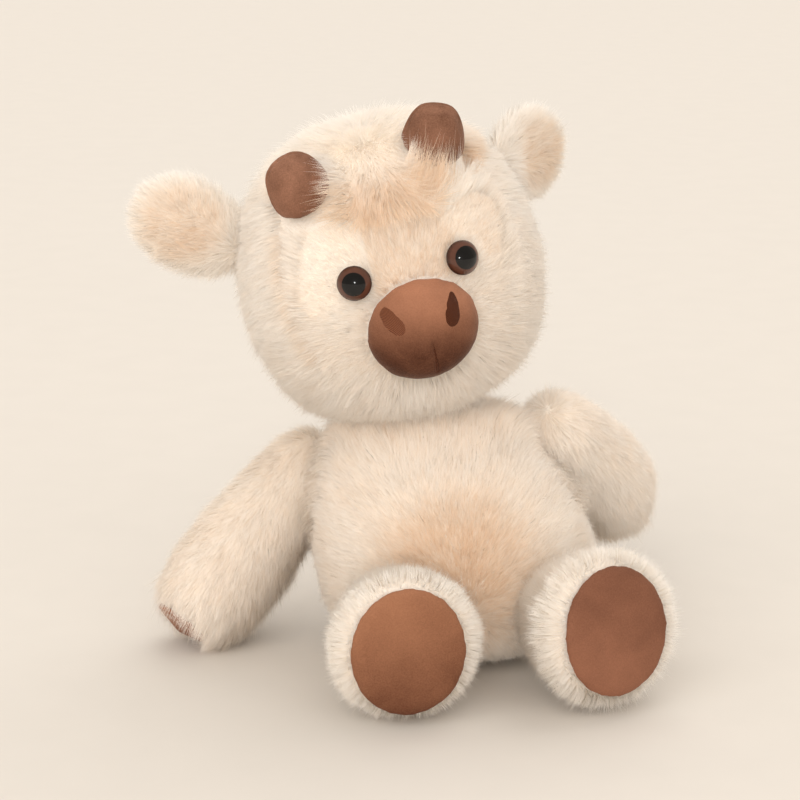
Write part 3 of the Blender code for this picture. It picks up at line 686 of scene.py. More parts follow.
def growFur(name, body, base, style, seed, density=1.0, bends=2):
    random = np.random.default_rng(seed)
    area = sum(face.area for face in base.data.polygons) / mm**2
    count = int(area * fur["density"] * density)
    roots, normals = scatter(base.data, count, random)
    look = style(roots, normals)
    keep = random.random(count) < look["share"]
    keep &= ~((normals[:, 2] < -0.5) & (roots[:, 2] < 0.006))  # none is pressed under the seat
    roots, normals = roots[keep], normals[keep]
    look = {key: value[keep] for key, value in look.items()}
    count, jitter = len(roots), fur["jitter"]

    paths, way = hairPaths(roots, normals, look, bends, random, seed)
    middles, _ = scatter(base.data, max(8, int(area / (fur["clump"] / mm) ** 2)), random)
    nearest = gatherClumps(paths, look, middles, random)
    paths[:, :, 2] = np.maximum(paths[:, :, 2], 0.0004)  # and none goes through the floor

    tones = look["tone"] + 0.04 * random.normal(size=len(middles))[nearest]
    tones += jitter["tone"] * random.normal(size=count)
    tones += 0.07 * softNoise(roots, 0.012, seed + 30)
    steps = np.diff(paths, axis=1)
    steps = np.concatenate([steps, steps[:, -1:]], axis=1)
    roll = normals + jitter["roll"] * random.normal(size=(count, 3))
    across = unit(np.cross(steps, roll[:, None]))
    widths = fur["halfWidth"] * look["width"] * (0.75 + 0.5 * random.random(count))
    shading = normals - fur["lean"] * way + jitter["shading"] * random.normal(size=(count, 3))
    shading[:, 1] -= look["toFront"]
    shading = unit(shading)

    order = np.argsort(roots[:, 2], kind="stable")
    casting = (random.random(count) < fur["shadeShare"] * look["shade"])[order]
    made = 0
    for shades in (True, False):
        group = order[casting == shades]
        parts = int(np.ceil(len(group) * (2 * bends - 1) / fur["mostFaces"]))
        for chosen in np.array_split(group, parts):
            made += 1
            title = f"{name}_{made}"
            mesh = hairMesh(title, paths[chosen], widths[chosen], across[chosen], shading[chosen], tones[chosen])
            dress(newPiece(title, mesh), furMaterial, body).visible_shadow = shades
    print(f"{name}: {count} hairs in {made} pieces")


# A style gives each hair its look: length in metres, lift in degrees off the cloth, tone from cream (0) to tan (1),
# how far it clumps, its width, its share of the density, how calmly it lies, how far it is lit from the front, and
# how much of the usual shade it casts

def plainLook(roots, length, lift, tone, clump=0.17, width=1.0):
    values = {"length": length, "lift": lift, "tone": tone, "clump": clump, "width": width, "share": 1, "calm": 1,
              "toFront": 0, "shade": 1}
    return {key: np.full(len(roots), float(value)) for key, value in values.items()}


def blend(look, share, **values):
    for key, value in values.items():
        look[key] = look[key] * (1 - share) + value * share


def choose(look, where, **values):
    for key, value in values.items():
        look[key] = np.where(where, value, look[key])


def turnTo(look, share, way):
    look["way"] = unit(look["way"] * (1 - share[:, None]) + way * share[:, None])


def makePlush(name, pileName, nodes, body, values, style, seed, wall=cloth["wall"], **growth):
    piece = stuffed(name, nodes, *values["form"])
    for joint, radius in values.get("sockets", {}).items():
        cutBall(piece, jointSpot(joint), radius)
    growFur(pileName, body, piece, style, seed, **growth)
    addCloth(piece, wall)
    dress(piece, backing, body, *nodes)


# Torso and neck

neck = {"radius": 0.0235, "length": 0.0120, "lift": 52, "tone": 0.20, "fill": 0.9}
torso = {
    "form": (0.0042, 0.0038, 3.0, 0.0016),
    "fill": 0.8,
    "sockets": {"left_shoulder": 0.0215, "right_shoulder": 0.0215, "left_hip": 0.0235, "right_hip": 0.0235,
                "neck_turn": 0.0256},
    "length": 0.0068,
    "lift": 38,
    "tone": 0.20,
    "calm": 1.5,
    "whorl": (0.000, -0.060, 0.030),
    "belly": {"spot": (-0.004, -0.055, 0.056), "reach": (0.010, 0.058), "tone": 0.39},
    "collar": {"height": (0.098, 0.112), "length": 0.0115, "lift": 46, "tone": 0.10, "toFront": 0.7, "shade": 0.6},
    "collarLeft": {"reach": (0.0, 0.030), "length": 0.0050, "lift": 22},  # more, on the side that the head leans from
    "seam": {"reach": (0.030, 0.046), "length": 0.0150, "lift": 40},  # where it spreads over the arms
}


def torsoLook(roots, normals):
    look = plainLook(roots, torso["length"], torso["lift"], torso["tone"])
    front = smoothStep(-normals[:, 1], -0.1, 0.5)[:, None]
    down = np.tile([0.0, 0.0, -1.0], (len(roots), 1))
    look["way"] = along(down * (1 - front) + unit(roots - np.array(torso["whorl"])) * front, normals)
    belly, neckline, more, seam = (torso[key] for key in ("belly", "collar", "collarLeft", "seam"))
    look["tone"] += belly["tone"] * (1 - smoothStep(farFrom(roots, belly["spot"]), *belly["reach"]))
    collar = smoothStep(roots[:, 2], *neckline["height"])
    left = smoothStep(roots[:, 0], *more["reach"])
    blend(look, collar, **{key: neckline[key] + more[key] * left for key in ("length", "lift")})
    for side, sign in sides.items():
        near = 1 - smoothStep(farFrom(roots, jointSpot(side + "_shoulder")), *seam["reach"])
        near *= 1 - smoothStep(normals[:, 2], 0.45, 0.75)
        turnTo(look, near, along(np.array([sign * 1.0, -0.25, -0.2]) + 0 * roots, normals))
        blend(look, near, length=seam["length"], lift=seam["lift"])
    look["tone"] += neckline["tone"] * collar
    look["toFront"] += neckline["toFront"] * collar  # the cow leans over it, and it catches the light from the front
    look["shade"] -= neckline["shade"] * collar
    look["calm"] *= torso["calm"]
    for joint, radius in torso["sockets"].items():
        look["share"] *= farFrom(roots, jointSpot(joint)) > min(radius, neck["radius"])
    return look


def neckLook(roots, normals):
    look = plainLook(roots, neck["length"], neck["lift"], neck["tone"])
    look["way"] = along(np.tile([0.0, 0.0, -1.0], (len(roots), 1)), normals)
    return look


def makeNeck():
    bpy.ops.mesh.primitive_uv_sphere_add(
        segments=48, ring_count=24, radius=neck["radius"], location=jointSpot("neck_turn")
    )
    piece = bpy.context.object
    piece.name = "neck_plush"
    piece.data.transform(Matrix.Translation(piece.location))
    piece.location = (0, 0, 0)
    piece.data.shade_smooth()
    growFur("neck_pile", "neck", piece, neckLook, 17)
    dress(piece, backing, "neck", "neck_filling")


makePlush("torso_plush", "torso_pile", ["torso_skin"], "torso", torso, torsoLook, 11)
print("torso made")
makeNeck()
print("neck made")


# Head. The face is laid out in the head's own millimetres: across to its left, and up from under its chin. A pair
# is a value and what the named reach adds to it

face = {
    "form": (0.0042, 0.0028, 3.0, 0.0012),
    "fill": 0.85,
    "sockets": {"neck_turn": 0.0256},
    "density": 1.15,
    "length": 0.0095,
    "lift": 42,
    "tone": 0.12,
    "whorl": (2, -10, 146),  # where the crown's hairs part
    "brow": [(-60, 122), (-46, 118), (-43, 113), (-31, 108.5), (-19.5, 104.5), (-7, 103), (7, 102), (21, 101.5),
             (32, 105), (44, 109), (60, 116)],
    "crease": [(20, -44), (61, -50), (72, -53), (91, -52), (104, -47.5), (116, -43)],
    "rightPatch": [(-41, 102), (-37, 107), (-31, 108.5), (-26, 107), (-22, 104), (-18, 98), (-17.5, 90), (-21, 84),
                   (-30, 72), (-40, 66), (-48, 66), (-50, 75), (-47.5, 88)],
    "leftPatch": [(28, 100), (36, 102), (44, 101), (50, 94), (51, 83), (45.5, 70), (36, 71), (34, 82), (22, 89),
                  (20, 96)],
    "nose": (0.0, -66.0, 50.0),
    "noseSize": (26.4, 24.0),
    "fromNose": (28, 62),  # over this way from the nose, the face's hairs grow longer
    "middle": {"length": (0.0045, 0.0040), "lift": 30},
    "cheeks": {"top": 62, "length": (0.0055, 0.0050), "lift": (30, 10), "tone": 0.14},
    "bridge": {"middle": 4, "half": 20, "bottom": 70, "tone": 0.34},
    "chin": {"length": 0.0115, "lift": 50, "clump": 0.4},
    "patches": {"length": (0.0025, 0.0034), "lift": 24, "rightTone": (0.10, 0.35), "leftTone": 0.25,
                "clump": 0.02, "calm": 0.35},
    "whiskers": {"bottom": 44, "length": (0.0055, 0.0042), "lift": (32, 8), "tone": 0.12, "tint": (0.20, 0.04)},
    "forelock": {"half": 58, "length": (0.0142, -0.0024), "lift": (40, 12), "tone": (0.10, 0.48), "clump": 0.20,
                 "aside": 0.55},
    "crown": {"length": 0.0105, "lift": 36, "paler": 0.7, "toFront": -0.25, "shade": 0.7},
    "eyes": {"clear": 0.0088, "reach": (0.009, 0.013), "part": 0.7, "shorter": 0.45},
}
horn = {
    "form": (0.0012, -0.0003, 4.0, 0.0008, 5, 1),
    "fill": 0.9,
    "lean": (20, 14),  # degrees outwards and forwards
    "clear": 0.0162,
    "veil": {"left": 0.0190, "right": 0.0260},  # how high the hairs in front reach along it
    "seamDepth": 0.0006,
    "seamWidth": 0.0007,
    "folds": 0.0003,
    "peak": 0.0009,
}


def insideOutline(across, up, outline):
    inside = np.zeros(len(across), bool)
    for (x0, y0), (x1, y1) in zip(outline, outline[1:] + outline[:1]):
        cross = (y0 > up) != (y1 > up)
        edge = (x1 - x0) * (up - y0) / (y1 - y0 + 1e-12) + x0
        inside ^= cross & (across < edge)
    return inside


def grown(pair, share):
    return pair[0] + pair[1] * share


def headMap(roots, normals):  # where each hair stands on the head
    local, ways = localPoints(headFrame, roots) / mm, localWays(headFrame, normals)
    across, up = local[:, 0], local[:, 2]
    brow = np.interp(across, *np.array(face["brow"]).T) + 3
    edge = np.interp(up, *np.array(face["crease"]).T)
    front = smoothStep(-ways[:, 1], 0.05, 0.40)
    return SimpleNamespace(
        roots=roots, normals=normals, local=local, ways=ways, across=across, up=up, brow=brow, edge=edge, front=front,
        inner=(across > edge) & (across < -edge), isFace=(front > 0.25) & (up < brow), above=up - brow,
        fromNose=local - np.array(face["nose"]), chin=smoothStep(-ways[:, 2], 0.30, 0.65),
    )


def headFlow(at):  # the crown flows out of its whorl, the cheeks down and back, and the face away from the nose
    sweep = np.zeros((len(at.across), 3)) + np.array([0, 0.5, -0.75])
    sweep[:, 0] = np.clip(at.across / 24, -1, 1)
    fromWhorl = at.local - np.array(face["whorl"])
    blur = np.exp(-np.linalg.norm(fromWhorl, axis=1) / 14)[:, None]
    way = unit(unit(fromWhorl) + 1.3 * blur * noiseWays(at.local, 5.0, 91))
    side = (smoothStep(at.brow + 6 - at.up, 0, 16) * (1 - smoothStep(58 - at.up, 0, 24)))[:, None]
    way = unit(way * (1 - side) + unit(sweep) * side)
    inward = np.where(at.inner | (at.up < 60), 1.0, 0.15)
    share = (smoothStep(-at.ways[:, 1], 0.0, 0.3) * smoothStep(at.brow + 1 - at.up, 0, 2) * inward)[:, None]
    way = way * (1 - share) + unit(at.fromNose) * share
    return along(worldWays(headFrame, unit(way)), at.normals)


def trimFace(look, at):
    middle, cheeks, bridge, chin = (face[key] for key in ("middle", "cheeks", "bridge", "chin"))
    reach = smoothStep(np.linalg.norm(at.fromNose[:, [0, 2]], axis=1), *face["fromNose"])
    choose(look, at.isFace & at.inner, length=grown(middle["length"], reach), lift=middle["lift"])
    choose(look, at.isFace & (at.up < cheeks["top"]), length=grown(cheeks["length"], reach),
           lift=grown(cheeks["lift"], reach), tone=cheeks["tone"])
    # between the eyes, under the forelock, the hairs are darker and more tan: painted shade, on hairs a little greyer
    # there
    between = (np.abs(at.across - bridge["middle"]) < bridge["half"]) & (at.up > bridge["bottom"])
    choose(look, at.isFace & at.inner & between, tone=bridge["tone"])
    blend(look, at.chin, length=chin["length"], lift=chin["lift"])
    look["clump"] *= 1 - chin["clump"] * at.chin


def clipPatches(look, at):  # the clipped patch that each eye sits in
    patches = face["patches"]
    right, left = (insideOutline(at.across, at.up, face[name]) for name in ("rightPatch", "leftPatch"))
    # the right patch's own tone, with painted shade that darkens it where it faces up
    rightTone = grown(patches["rightTone"], smoothStep(at.normals[:, 2], 0.15, 0.6))
    choose(look, at.isFace & (right | left), length=np.where(right, *patches["length"]), lift=patches["lift"],
           tone=np.where(right, rightTone, patches["leftTone"]), clump=patches["clump"], calm=patches["calm"])


def growWhiskers(look, at):  # the long hairs beside the face start at the crease, with painted shade darkening them in it
    whiskers, right = face["whiskers"], at.across < 0
    gap = np.abs(at.across) - np.abs(at.edge)
    step = np.where(right, 1.0, smoothStep(gap, 0, 14))
    # painted shade in the crease, stronger on the face's right side
    tint = np.where(right, *whiskers["tint"]) * (1 - smoothStep(gap, 0.5, 6))
    choose(look, at.isFace & ~at.inner & (at.up > whiskers["bottom"]), length=grown(whiskers["length"], step),
           lift=grown(whiskers["lift"], step), tone=whiskers["tone"] + tint)


def growForelock(look, at):  # and the crown behind it
    lock, crown = face["forelock"], face["crown"]
    tuft = (at.front > 0.05) & (at.above >= 0) & (np.abs(at.across) < lock["half"])
    height = np.clip(at.above / 26, 0, 1)

    def outward(more):  # it reaches further to the left by some millimetres
        return np.where(at.across < 0, -at.across, at.across - more)

    tan = lock["tone"][1] * (1 - smoothStep(at.above, 6, 38)) * (1 - smoothStep(outward(8), 36, 52))
    choose(look, tuft, length=grown(lock["length"], height), lift=grown(lock["lift"], height),
           tone=lock["tone"][0] + tan, clump=lock["clump"])
    aside = smoothStep(outward(10), 22, 32) * (1 - smoothStep(at.above, 2, 14))
    look["length"] *= 1 - lock["aside"] * aside * tuft
    top = smoothStep(at.ways[:, 2], 0.45, 0.85)
    blend(look, top, length=crown["length"], lift=crown["lift"])
    # painted light: the crown's hairs are paler on the top of the head
    look["tone"] *= 1 - crown["paler"] * top
    look["toFront"] += crown["toFront"] * top
    look["shade"] -= crown["shade"] * np.maximum.reduce([tuft * (0.3 + 0.7 * height), top, at.chin])


def clearEyesAndNose(look, at):
    eyes = face["eyes"]
    for side in sides:
        spot = nodeSpot(side + "_eye_dome")
        gap = farFrom(at.roots, spot)
        look["share"] *= gap > eyes["clear"]
        near = (1 - smoothStep(gap, *eyes["reach"])) * eyes["part"]
        turnTo(look, near, along(at.roots - np.array(spot), at.normals))
        look["length"] *= 1 - eyes["shorter"] * near
    across, up = at.fromNose[:, 0] / face["noseSize"][0], at.fromNose[:, 2] / face["noseSize"][1]
    look["share"] *= ~((at.front > 0.3) & (np.hypot(across, up) < 1))


def hornAxis(side):
    points = nodePoints(side + "_horn_velvet")
    spot = Vector(points.mean(0))
    outwards, forwards = (sin(radians(value)) for value in horn["lean"])
    way = headFrame.to_3x3() @ Vector((sides[side] * outwards, -forwards, 1)).normalized()
    low = min((Vector(point) - spot).dot(way) for point in points)
    return spot + way * low, way


hornAxes = {side: hornAxis(side) for side in sides}


def veilHorn(side, look, at):  # hairs in front of a horn stand up over it
    spot, axis = (np.array(value) for value in hornAxes[side])
    offset = at.roots - spot
    rise = offset @ axis
    flat = offset - rise[:, None] * axis
    gap = np.linalg.norm(flat, axis=1)
    look["share"] *= ~((gap < horn["clear"]) & (rise > -0.008))
    local = localWays(headFrame, unit(flat))
    if side == "left":  # they stand up over its lower front
        ahead = smoothStep(-local[:, 1], 0.2, 0.7)
        stand = unit(axis - unit(flat) * 0.16)
        reach = horn["clear"] + 0.003
    else:  # they lie over its inner side
        ahead = smoothStep(local[:, 0] * 0.8 - local[:, 1] * 0.6, -0.1, 0.5)
        stand = unit(at.normals * 0.85 + np.array(headWay(-0.85, -0.12, 0.0)))
        reach = horn["clear"] + 0.005
    near = (1 - smoothStep(gap, reach, reach + 0.004)) * (rise > -0.02) * ahead * (at.above >= -1)
    angle = np.degrees(np.arcsin(np.clip((stand * at.normals).sum(1), 0, 1)))
    tall = np.clip(horn["veil"][side] - rise, 0.006, 0.028) * (0.80 + 0.20 * softNoise(at.roots, 0.0004, 77))
    turnTo(look, near, along(stand, at.normals))
    blend(look, near, lift=angle, length=tall)
    look["share"] *= 1 - 0.50 * near
    look["width"] *= 1 - 0.15 * near
    look["clump"] *= 1 - 0.8 * near


def headLook(roots, normals):
    at = headMap(roots, normals)
    look = plainLook(roots, face["length"], face["lift"], face["tone"])
    look["way"] = headFlow(at)
    trimFace(look, at)
    clipPatches(look, at)
    growWhiskers(look, at)
    growForelock(look, at)
    clearEyesAndNose(look, at)
    for side in sides:
        veilHorn(side, look, at)
    return look


makePlush("head_plush", "head_pile", ["head_skin"], "head", face, headLook, 23, density=face["density"], bends=3)
print("head made")


# Nose, with its nostrils and the stitch under them

nose = {
    "form": (0.0011, -0.0011, 4.0, 0.0009, 30, 1),
    "fill": 0.9,
    "grooveDepth": 0.0007,
    "grooveWidth": 0.0011,
    "half": (0.0285, 0.026),
    "tucks": 0.0002,
    "thread": 0.0006,
    "threadTaper": (0.3, 0.65),  # where it starts along the stitch, and the share of the width that it takes
}
noseFront = facing(nodeSpot("nose_velvet"), headWay(0, -1, -0.10), headUp)


def makeNose():
    piece = makePad("nose", "nose_velvet", "head", nose["form"], velvet["noseVelvet"])
    points, normals = meshPoints(piece.data), meshNormals(piece.data)
    local = localPoints(noseFront, points)
    stitch = localPoints(noseFront, nodePoints("muzzle_stitch"))
    middle, low, high = stitch[:, 0].mean(), stitch[:, 1].min(), stitch[:, 1].max()
    inLine = smoothStep(local[:, 1], low - 0.002, low) * (1 - smoothStep(local[:, 1], high, high + 0.002))
    dip = np.exp(-(((local[:, 0] - middle) / nose["grooveWidth"]) ** 2)) * inLine * (local[:, 2] > 0)
    turn = np.arctan2(local[:, 1], local[:, 0])
    rim = smoothStep(np.hypot(local[:, 0] / nose["half"][0], local[:, 1] / nose["half"][1]), 0.80, 0.99)
    tucks = softNoise(np.stack([turn * 3.2, turn * 0, turn * 0], axis=1), 0.5, 5)
    setPoints(piece.data, points - normals * (dip * nose["grooveDepth"] + rim * nose["tucks"] * tucks)[:, None])
    form = bmesh.new()
    form.from_mesh(piece.data)
    tree = BVHTree.FromBMesh(form)
    form.free()
    return tree


noseTree = makeNose()


def noseHit(x, y):  # the spot on the velvet at x and y of the nose's front, and its normal there
    down = -(noseFront.to_3x3() @ Vector((0, 0, 1)))
    spot, normal, _, _ = noseTree.ray_cast(noseFront @ Vector((x, y, 0.03)), down)
    if spot is None:
        spot, normal, _, _ = noseTree.find_nearest(noseFront @ Vector((x, y, 0)))
    return spot, normal


def nostrilOutline(node, around):  # its middle, and how far it reaches at each turn
    form = tightSkin((x, y, 0) for x, y, _ in localPoints(noseFront, nodePoints(node)))
    ring = np.array([vert.co[:2] for vert in form.verts])
    form.free()
    middle = (ring.min(0) + ring.max(0)) / 2
    angles = np.arctan2(ring[:, 1] - middle[1], ring[:, 0] - middle[0])
    order = np.argsort(angles)
    radii, angles = np.linalg.norm(ring - middle, axis=1)[order], angles[order]
    turns = np.linspace(-pi, pi, around, endpoint=False)
    reach = np.interp(turns, np.concatenate([angles - 2 * pi, angles, angles + 2 * pi]), np.tile(radii, 3))
    return middle, turns, (np.roll(reach, 1) + 2 * reach + np.roll(reach, -1)) / 4


def makeNostril(name, node, material, rise, rings=7, around=56):  # a low cushion of stitches
    middle, turns, reach = nostrilOutline(node, around)
    form = bmesh.new()

    def drop(x, y, share):
        spot, normal = noseHit(x, y)
        return form.verts.new(spot + normal * rise * (1 - share**4) - normal * 0.0003 * share**4)

    centre = drop(*middle, 0)
    loops = []
    for share in (index / rings for index in range(1, rings + 1)):
        loops.append([
            drop(middle[0] + share * r * cos(t), middle[1] + share * r * sin(t), share) for t, r in zip(turns, reach)
        ])
    for one, two in zip(loops[0], loops[0][1:] + loops[0][:1]):
        form.faces.new((centre, one, two))
    for inner, outer in zip(loops, loops[1:]):
        for index in range(around):
            after = (index + 1) % around
            form.faces.new((inner[index], outer[index], outer[after], inner[after]))
    bmesh.ops.recalc_face_normals(form, faces=form.faces)
    mesh = meshFrom(form, name)
    mesh.shade_smooth()
    piece = newPiece(name, mesh)
    addModifier(piece, "thread", "SOLIDIFY", thickness=0.0003, offset=-1)
    applyModifiers(piece)
    dress(piece, material, "head", node)


def layStitch(name, node, material, radius, steps=24):
    stitch = localPoints(noseFront, nodePoints(node))
    order = stitch[:, 1].argsort()
    low, high = stitch[order[:8]].mean(0), stitch[order[-8:]].mean(0)
    start, lost = nose["threadTaper"]
    curve = bpy.data.curves.new(name, "CURVE")
    setAll(curve, dimensions="3D", bevel_depth=radius, bevel_resolution=3, use_fill_caps=True)
    line = curve.splines.new("POLY")
    line.points.add(steps)
    for index, point in enumerate(line.points):
        share = index / steps
        x, y, _ = low + (high - low) * share
        spot, normal = noseHit(x, y)
        point.co = (*(spot - normal * radius * 0.3), 1)
        point.radius = 1 - lost * max(0, (share - start) / (1 - start)) ** 1.5
    piece = newPiece(name, curve)
    mesh = evaluatedMesh(piece)
    bpy.data.objects.remove(piece)
    mesh.name = name
    mesh.shade_smooth()
    dress(newPiece(name, mesh), material, "head", node)


makeNostril("nostril_left", "left_nostril", darkThread, 0.0005)
makeNostril("nostril_right", "right_nostril", tonalThread, 0.0004)
layStitch("mouth_stitch", "muzzle_stitch", darkThread, nose["thread"])
print("nose made")


# Eyes

eye = {
    "radius": 0.0082,
    "height": 0.0050,
    "plate": (0.0004, 0.0014),  # how far behind the dome's rim it starts and ends
    "post": (0.0024, 0.015),  # radius and length
    "pupil": 0.68,
    "brown": colour(94, 60, 47),
    "rim": colour(60, 34, 26),
}


def irisMaterial():
    material, tree, shader = newMaterial("eyeIris", {
        "Roughness": 0.35,
        "Specular IOR Level": 0.1,
        "Coat Weight": 1.0,
        "Coat IOR": 1.42,
        "Coat Roughness": 0.015,
    })
    flat = addNode(tree, "VectorMath", {1: (1, 1, 0)}, operation="MULTIPLY")
    size = addNode(tree, "VectorMath", operation="LENGTH")
    scale = addNode(tree, "Math", {1: eye["radius"]}, operation="DIVIDE")
    pupil, brown = eye["pupil"], eye["brown"]
    ramp = addRamp(tree, scale, 0, [(0.0, colour(8, 6, 6)), (pupil - 0.02, colour(12, 8, 8)), (pupil + 0.02, brown),
                                    (0.88, brown), (0.99, eye["rim"])])
    noise = addTexture(tree, "Noise", {"Scale": 260})
    mottle = addNode(tree, "Mix", {"Factor": 0.35}, data_type="RGBA", blend_type="MULTIPLY")
    wire(
        tree,
        (addNode(tree, "TexCoord"), "Object", flat, 0), (flat, "Vector", size, 0),
        (size, "Value", scale, 0), (ramp, "Color", mottle, "A"), (noise, "Fac", mottle, "B"),
        (mottle, "Result", shader, "Base Color"),
    )
    return material


iris = irisMaterial()


def spun(name, profile, place, segments=64):
    form = bmesh.new()
    points = [form.verts.new((radius, 0, height)) for radius, height in profile]
    edges = [form.edges.new(pair) for pair in zip(points, points[1:])]
    bmesh.ops.spin(form, geom=points + edges, cent=(0, 0, 0), axis=(0, 0, 1), angle=2 * pi, steps=segments)
    bmesh.ops.remove_doubles(form, verts=form.verts, dist=1e-6)
    bmesh.ops.recalc_face_normals(form, faces=form.faces)
    mesh = meshFrom(form, name)
    mesh.shade_smooth()
    piece = newPiece(name, mesh)
    piece.matrix_world = place
    return piece


def eyePlace(side):
    dome = nodeSpot(side + "_eye_dome")
    out = (dome - nodeSpot(side + "_eye_base")).normalized()
    low = min((Vector(point) - dome).dot(out) for point in nodePoints(side + "_eye_dome"))
    return facing(dome + out * low, out, headUp)


def makeEye(side):
    place = eyePlace(side)
    radius, height = eye["radius"], eye["height"]
    bend = (radius**2 + height**2) / (2 * height)
    reaches = [radius * sin(pi / 2 * step / 16) for step in range(17)]
    dome = [(reach, (bend**2 - reach**2) ** 0.5 - bend + height) for reach in reaches]
    lens = spun("eye_lens_" + side, dome + [(radius * 0.99, -0.0003), (0, -0.0003)], place)
    dress(lens, iris, "head", side + "_eye_dome")
    (front, back), (post, length) = eye["plate"], eye["post"]
    base = [(0, -front), (radius, -front), (radius, -back), (post, -back), (post, -length), (0, -length)]
    dress(spun("eye_button_" + side, base, place), iris, "head", side + "_eye_base")


# Horns

def makeHorn(side):
    piece = makePad("horn_" + side, side + "_horn_velvet", "head", horn["form"], velvet["hornVelvet"])
    spot, axis = hornAxes[side]
    points, normals = meshPoints(piece.data), meshNormals(piece.data)
    local = localPoints(facing(spot, axis, headWay(0, 1, 0)), points)
    fromSeam, height, top = local[:, 1], local[:, 2], local[:, 2].max()
    seam = np.exp(-((fromSeam / horn["seamWidth"]) ** 2)) * (height > 0.002)
    beside = np.exp(-((np.abs(fromSeam) - 0.0019) / 0.0011) ** 2)
    folds = softNoise(local * np.array([1.0, 1.0, 0.35]), 0.0035, 71 + sides[side]) * smoothStep(height, 0, top)
    points += normals * (0.0004 * beside - horn["seamDepth"] * seam + horn["folds"] * folds)[:, None]
    peak = smoothStep(height, top * 0.55, top) * np.exp(-((fromSeam / 0.005) ** 2))
    setPoints(piece.data, points + np.array(axis) * (horn["peak"] * peak)[:, None])


# Ears

ear = {
    "form": (0.0022, 0.0022, 2.0, 0.0008, 3),
    "fill": 0.4,
    "wall": 0.0010,
    "length": 0.0092,
    "lift": 38,
    "tone": 0.05,
    "half": (0.023, 0.028),
    "middle": 0.027,  # from the seam
    "lining": {"tone": 0.36, "shorter": 0.30, "clump": 0.15, "swirl": 0.9},
}


def earLook(place, roots, normals):
    look = plainLook(roots, ear["length"], ear["lift"], ear["tone"])
    local, lining = localPoints(place, roots), ear["lining"]
    rim = np.hypot(local[:, 0] / ear["half"][0], (local[:, 2] - ear["middle"]) / ear["half"][1])
    inner = smoothStep(-localWays(headFrame, normals)[:, 1], 0.2, 0.7) * (1 - smoothStep(rim, 0.50, 0.92))
    look["tone"] += lining["tone"] * inner
    look["length"] *= 1 - lining["shorter"] * inner
    look["clump"] += lining["clump"] * inner
    out = np.stack([local[:, 0] * 1.3, np.zeros(len(roots)), local[:, 2] + 0.004], axis=1)
    swirl = noiseWays(local, 0.011, 47) * np.array([1.0, 0.0, 1.0])
    look["way"] = along(worldWays(place, unit(unit(out) + swirl * (inner * lining["swirl"])[:, None])), normals)
    return look


def makeEar(side):
    place, body = earPlace(side), side + "_ear"
    makePlush("ear_" + side, "ear_pile_" + side, [body + "_back", body + "_lining"], body, ear,
              lambda roots, normals: earLook(place, roots, normals), 42 - sides[side], wall=ear["wall"])


# Arms

arm = {
    "form": (0.0036, 0.0036, 3.0, 0.0014),
    "fill": 0.7,
    "length": 0.0082,
    "lift": 30,
    "tone": 0.18,
    "under": {"length": 0.0040, "lift": 16},  # more, on its underside
    "end": {"reach": (0.078, 0.100), "length": 0.0058, "outward": (0.15, 0.35)},
    "hang": 0.55,
    "padHalf": (0.0165, 0.0155),
    "pad": (0.0010, 0.0, 3.0, 0.0006, 3, 1),
    "padFill": 0.5,
}


def limbWays(local, forward, outward):  # along a limb, and out of its middle line
    ways = unit(local * np.array([1.0, 1.0, 0.0])) * outward[:, None]
    ways[:, 2] = forward
    return unit(ways)


def padShare(local, half):  # below 1 inside the pad's oval
    return np.hypot(local[:, 0] / half[0], local[:, 1] / half[1])


def armLook(place, roots, normals):
    look = plainLook(roots, arm["length"], arm["lift"], arm["tone"])
    local = localPoints(place, roots)
    under = smoothStep(-normals[:, 2], 0.1, 0.8)
    end = smoothStep(local[:, 2], *arm["end"]["reach"])
    look["length"] += arm["under"]["length"] * under
    look["length"] += arm["end"]["length"] * end
    look["lift"] += arm["under"]["lift"] * under
    ways = worldWays(place, limbWays(local, 1.0, grown(arm["end"]["outward"], end)))
    ways[:, 2] -= arm["hang"]
    look["way"] = along(ways, normals)
    look["share"] *= ~((padShare(local, arm["padHalf"]) < 0.93) & (local[:, 2] > 0.05))
    return look


def makeArm(side):
    place, body = limbPlace(side + "_shoulder", side + "_hand_pad", (0, -1, 0)), side + "_arm"
    makePlush(body + "_plush", body + "_pile", [body + "_skin"], body, arm,
              lambda roots, normals: armLook(place, roots, normals), 52 - sides[side])
    makePad("hand_pad_" + side, side + "_hand_pad", body, arm["pad"], velvet["rightSoleVelvet"])


# Legs

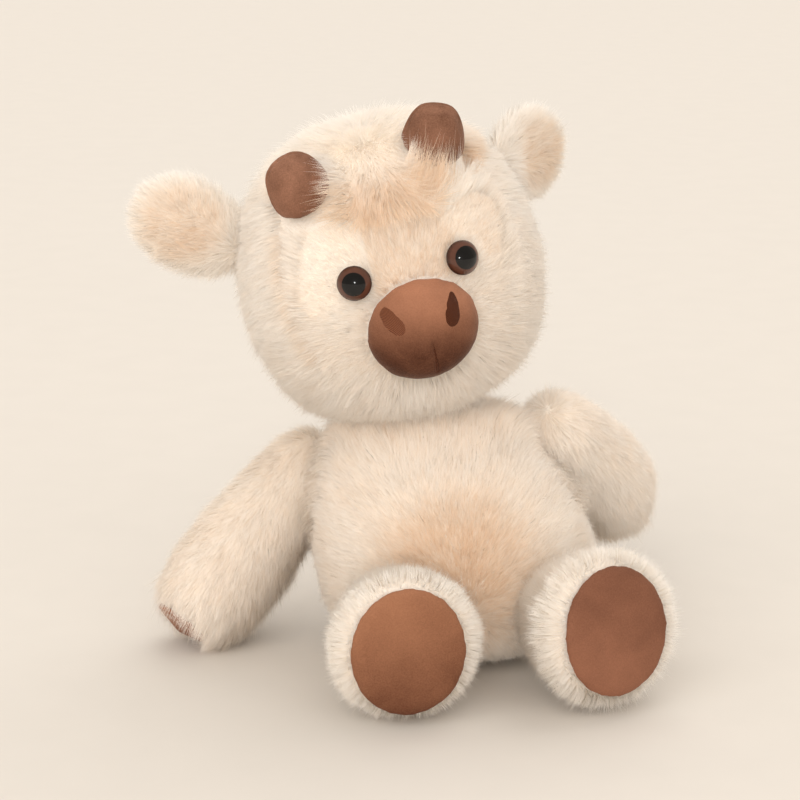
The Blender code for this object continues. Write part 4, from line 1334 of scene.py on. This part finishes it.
leg = {
    "form": (0.0036, 0.0036, 3.0, 0.0014),
    "fill": 0.8,
    "length": {"left": 0.0098, "right": 0.0078},
    "lift": 36,
    "tone": 0.10,
    "clump": 0.06,
    "width": 0.85,
    "end": {"reach": (0.016, 0.040), "forward": (1.0, -0.9), "outward": (0.2, 1.5), "paler": 0.08},
    "inward": {"length": 0.0062, "lift": 60},  # some hairs at the sole's seam lie over it
    "padHalf": (0.0272, 0.0314),
    "pad": (0.0011, -0.0007, 3.0, 0.0008, 30, 1),
    "padFill": 0.5,
}


def legLook(side, place, roots, normals):
    look = plainLook(roots, leg["length"][side], leg["lift"], leg["tone"], leg["clump"], leg["width"])
    local = localPoints(place, roots)
    end = smoothStep(local[:, 2], *leg["end"]["reach"])
    pad = padShare(local, leg["padHalf"])
    inward = (pad < 1.05) & (softNoise(roots, 0.0005, 83) > 0.10) & (local[:, 2] > 0.02)
    outward = grown(leg["end"]["outward"], end) * np.where(inward, -1, 1)
    ways = worldWays(place, limbWays(local, grown(leg["end"]["forward"], end), outward))
    look["way"] = along(ways, normals)
    choose(look, inward, **leg["inward"])
    look["share"] *= ~((pad < 0.95) & (local[:, 2] > 0.02))
    look["tone"] -= leg["end"]["paler"] * end
    return look


def makeLeg(side):
    place, body = limbPlace(side + "_hip", side + "_sole_pad", (0, 0, 1)), side + "_leg"
    makePlush(body + "_plush", body + "_pile", [body + "_skin"], body, leg,
              lambda roots, normals: legLook(side, place, roots, normals), 62 - sides[side])
    makePad("sole_pad_" + side, side + "_sole_pad", body, leg["pad"], velvet[side + "SoleVelvet"])


for title, make in {"eyes": makeEye, "horns": makeHorn, "ears": makeEar, "arms": makeArm, "legs": makeLeg}.items():
    for side in sides:
        make(side)
    print(title, "made")


# What the toy hides: its filling and the eyes' lock washers

def fillingMaterial():
    material, tree, shader = newMaterial("whiteStuffing", {"Roughness": 0.95})
    noise = addTexture(tree, "Noise", {"Scale": 140, "Detail": 6, "Distortion": 1.2})
    ramp = addRamp(tree, noise, "Fac", [(0.3, colour(214, 212, 206)), (0.7, colour(244, 243, 240))])
    wire(tree, (ramp, "Color", shader, "Base Color"))
    return material


filling = fillingMaterial()
for node in frame["nodes"].values():
    if not node.hide_render:
        node.data.materials.clear()
        node.data.materials.append(filling)
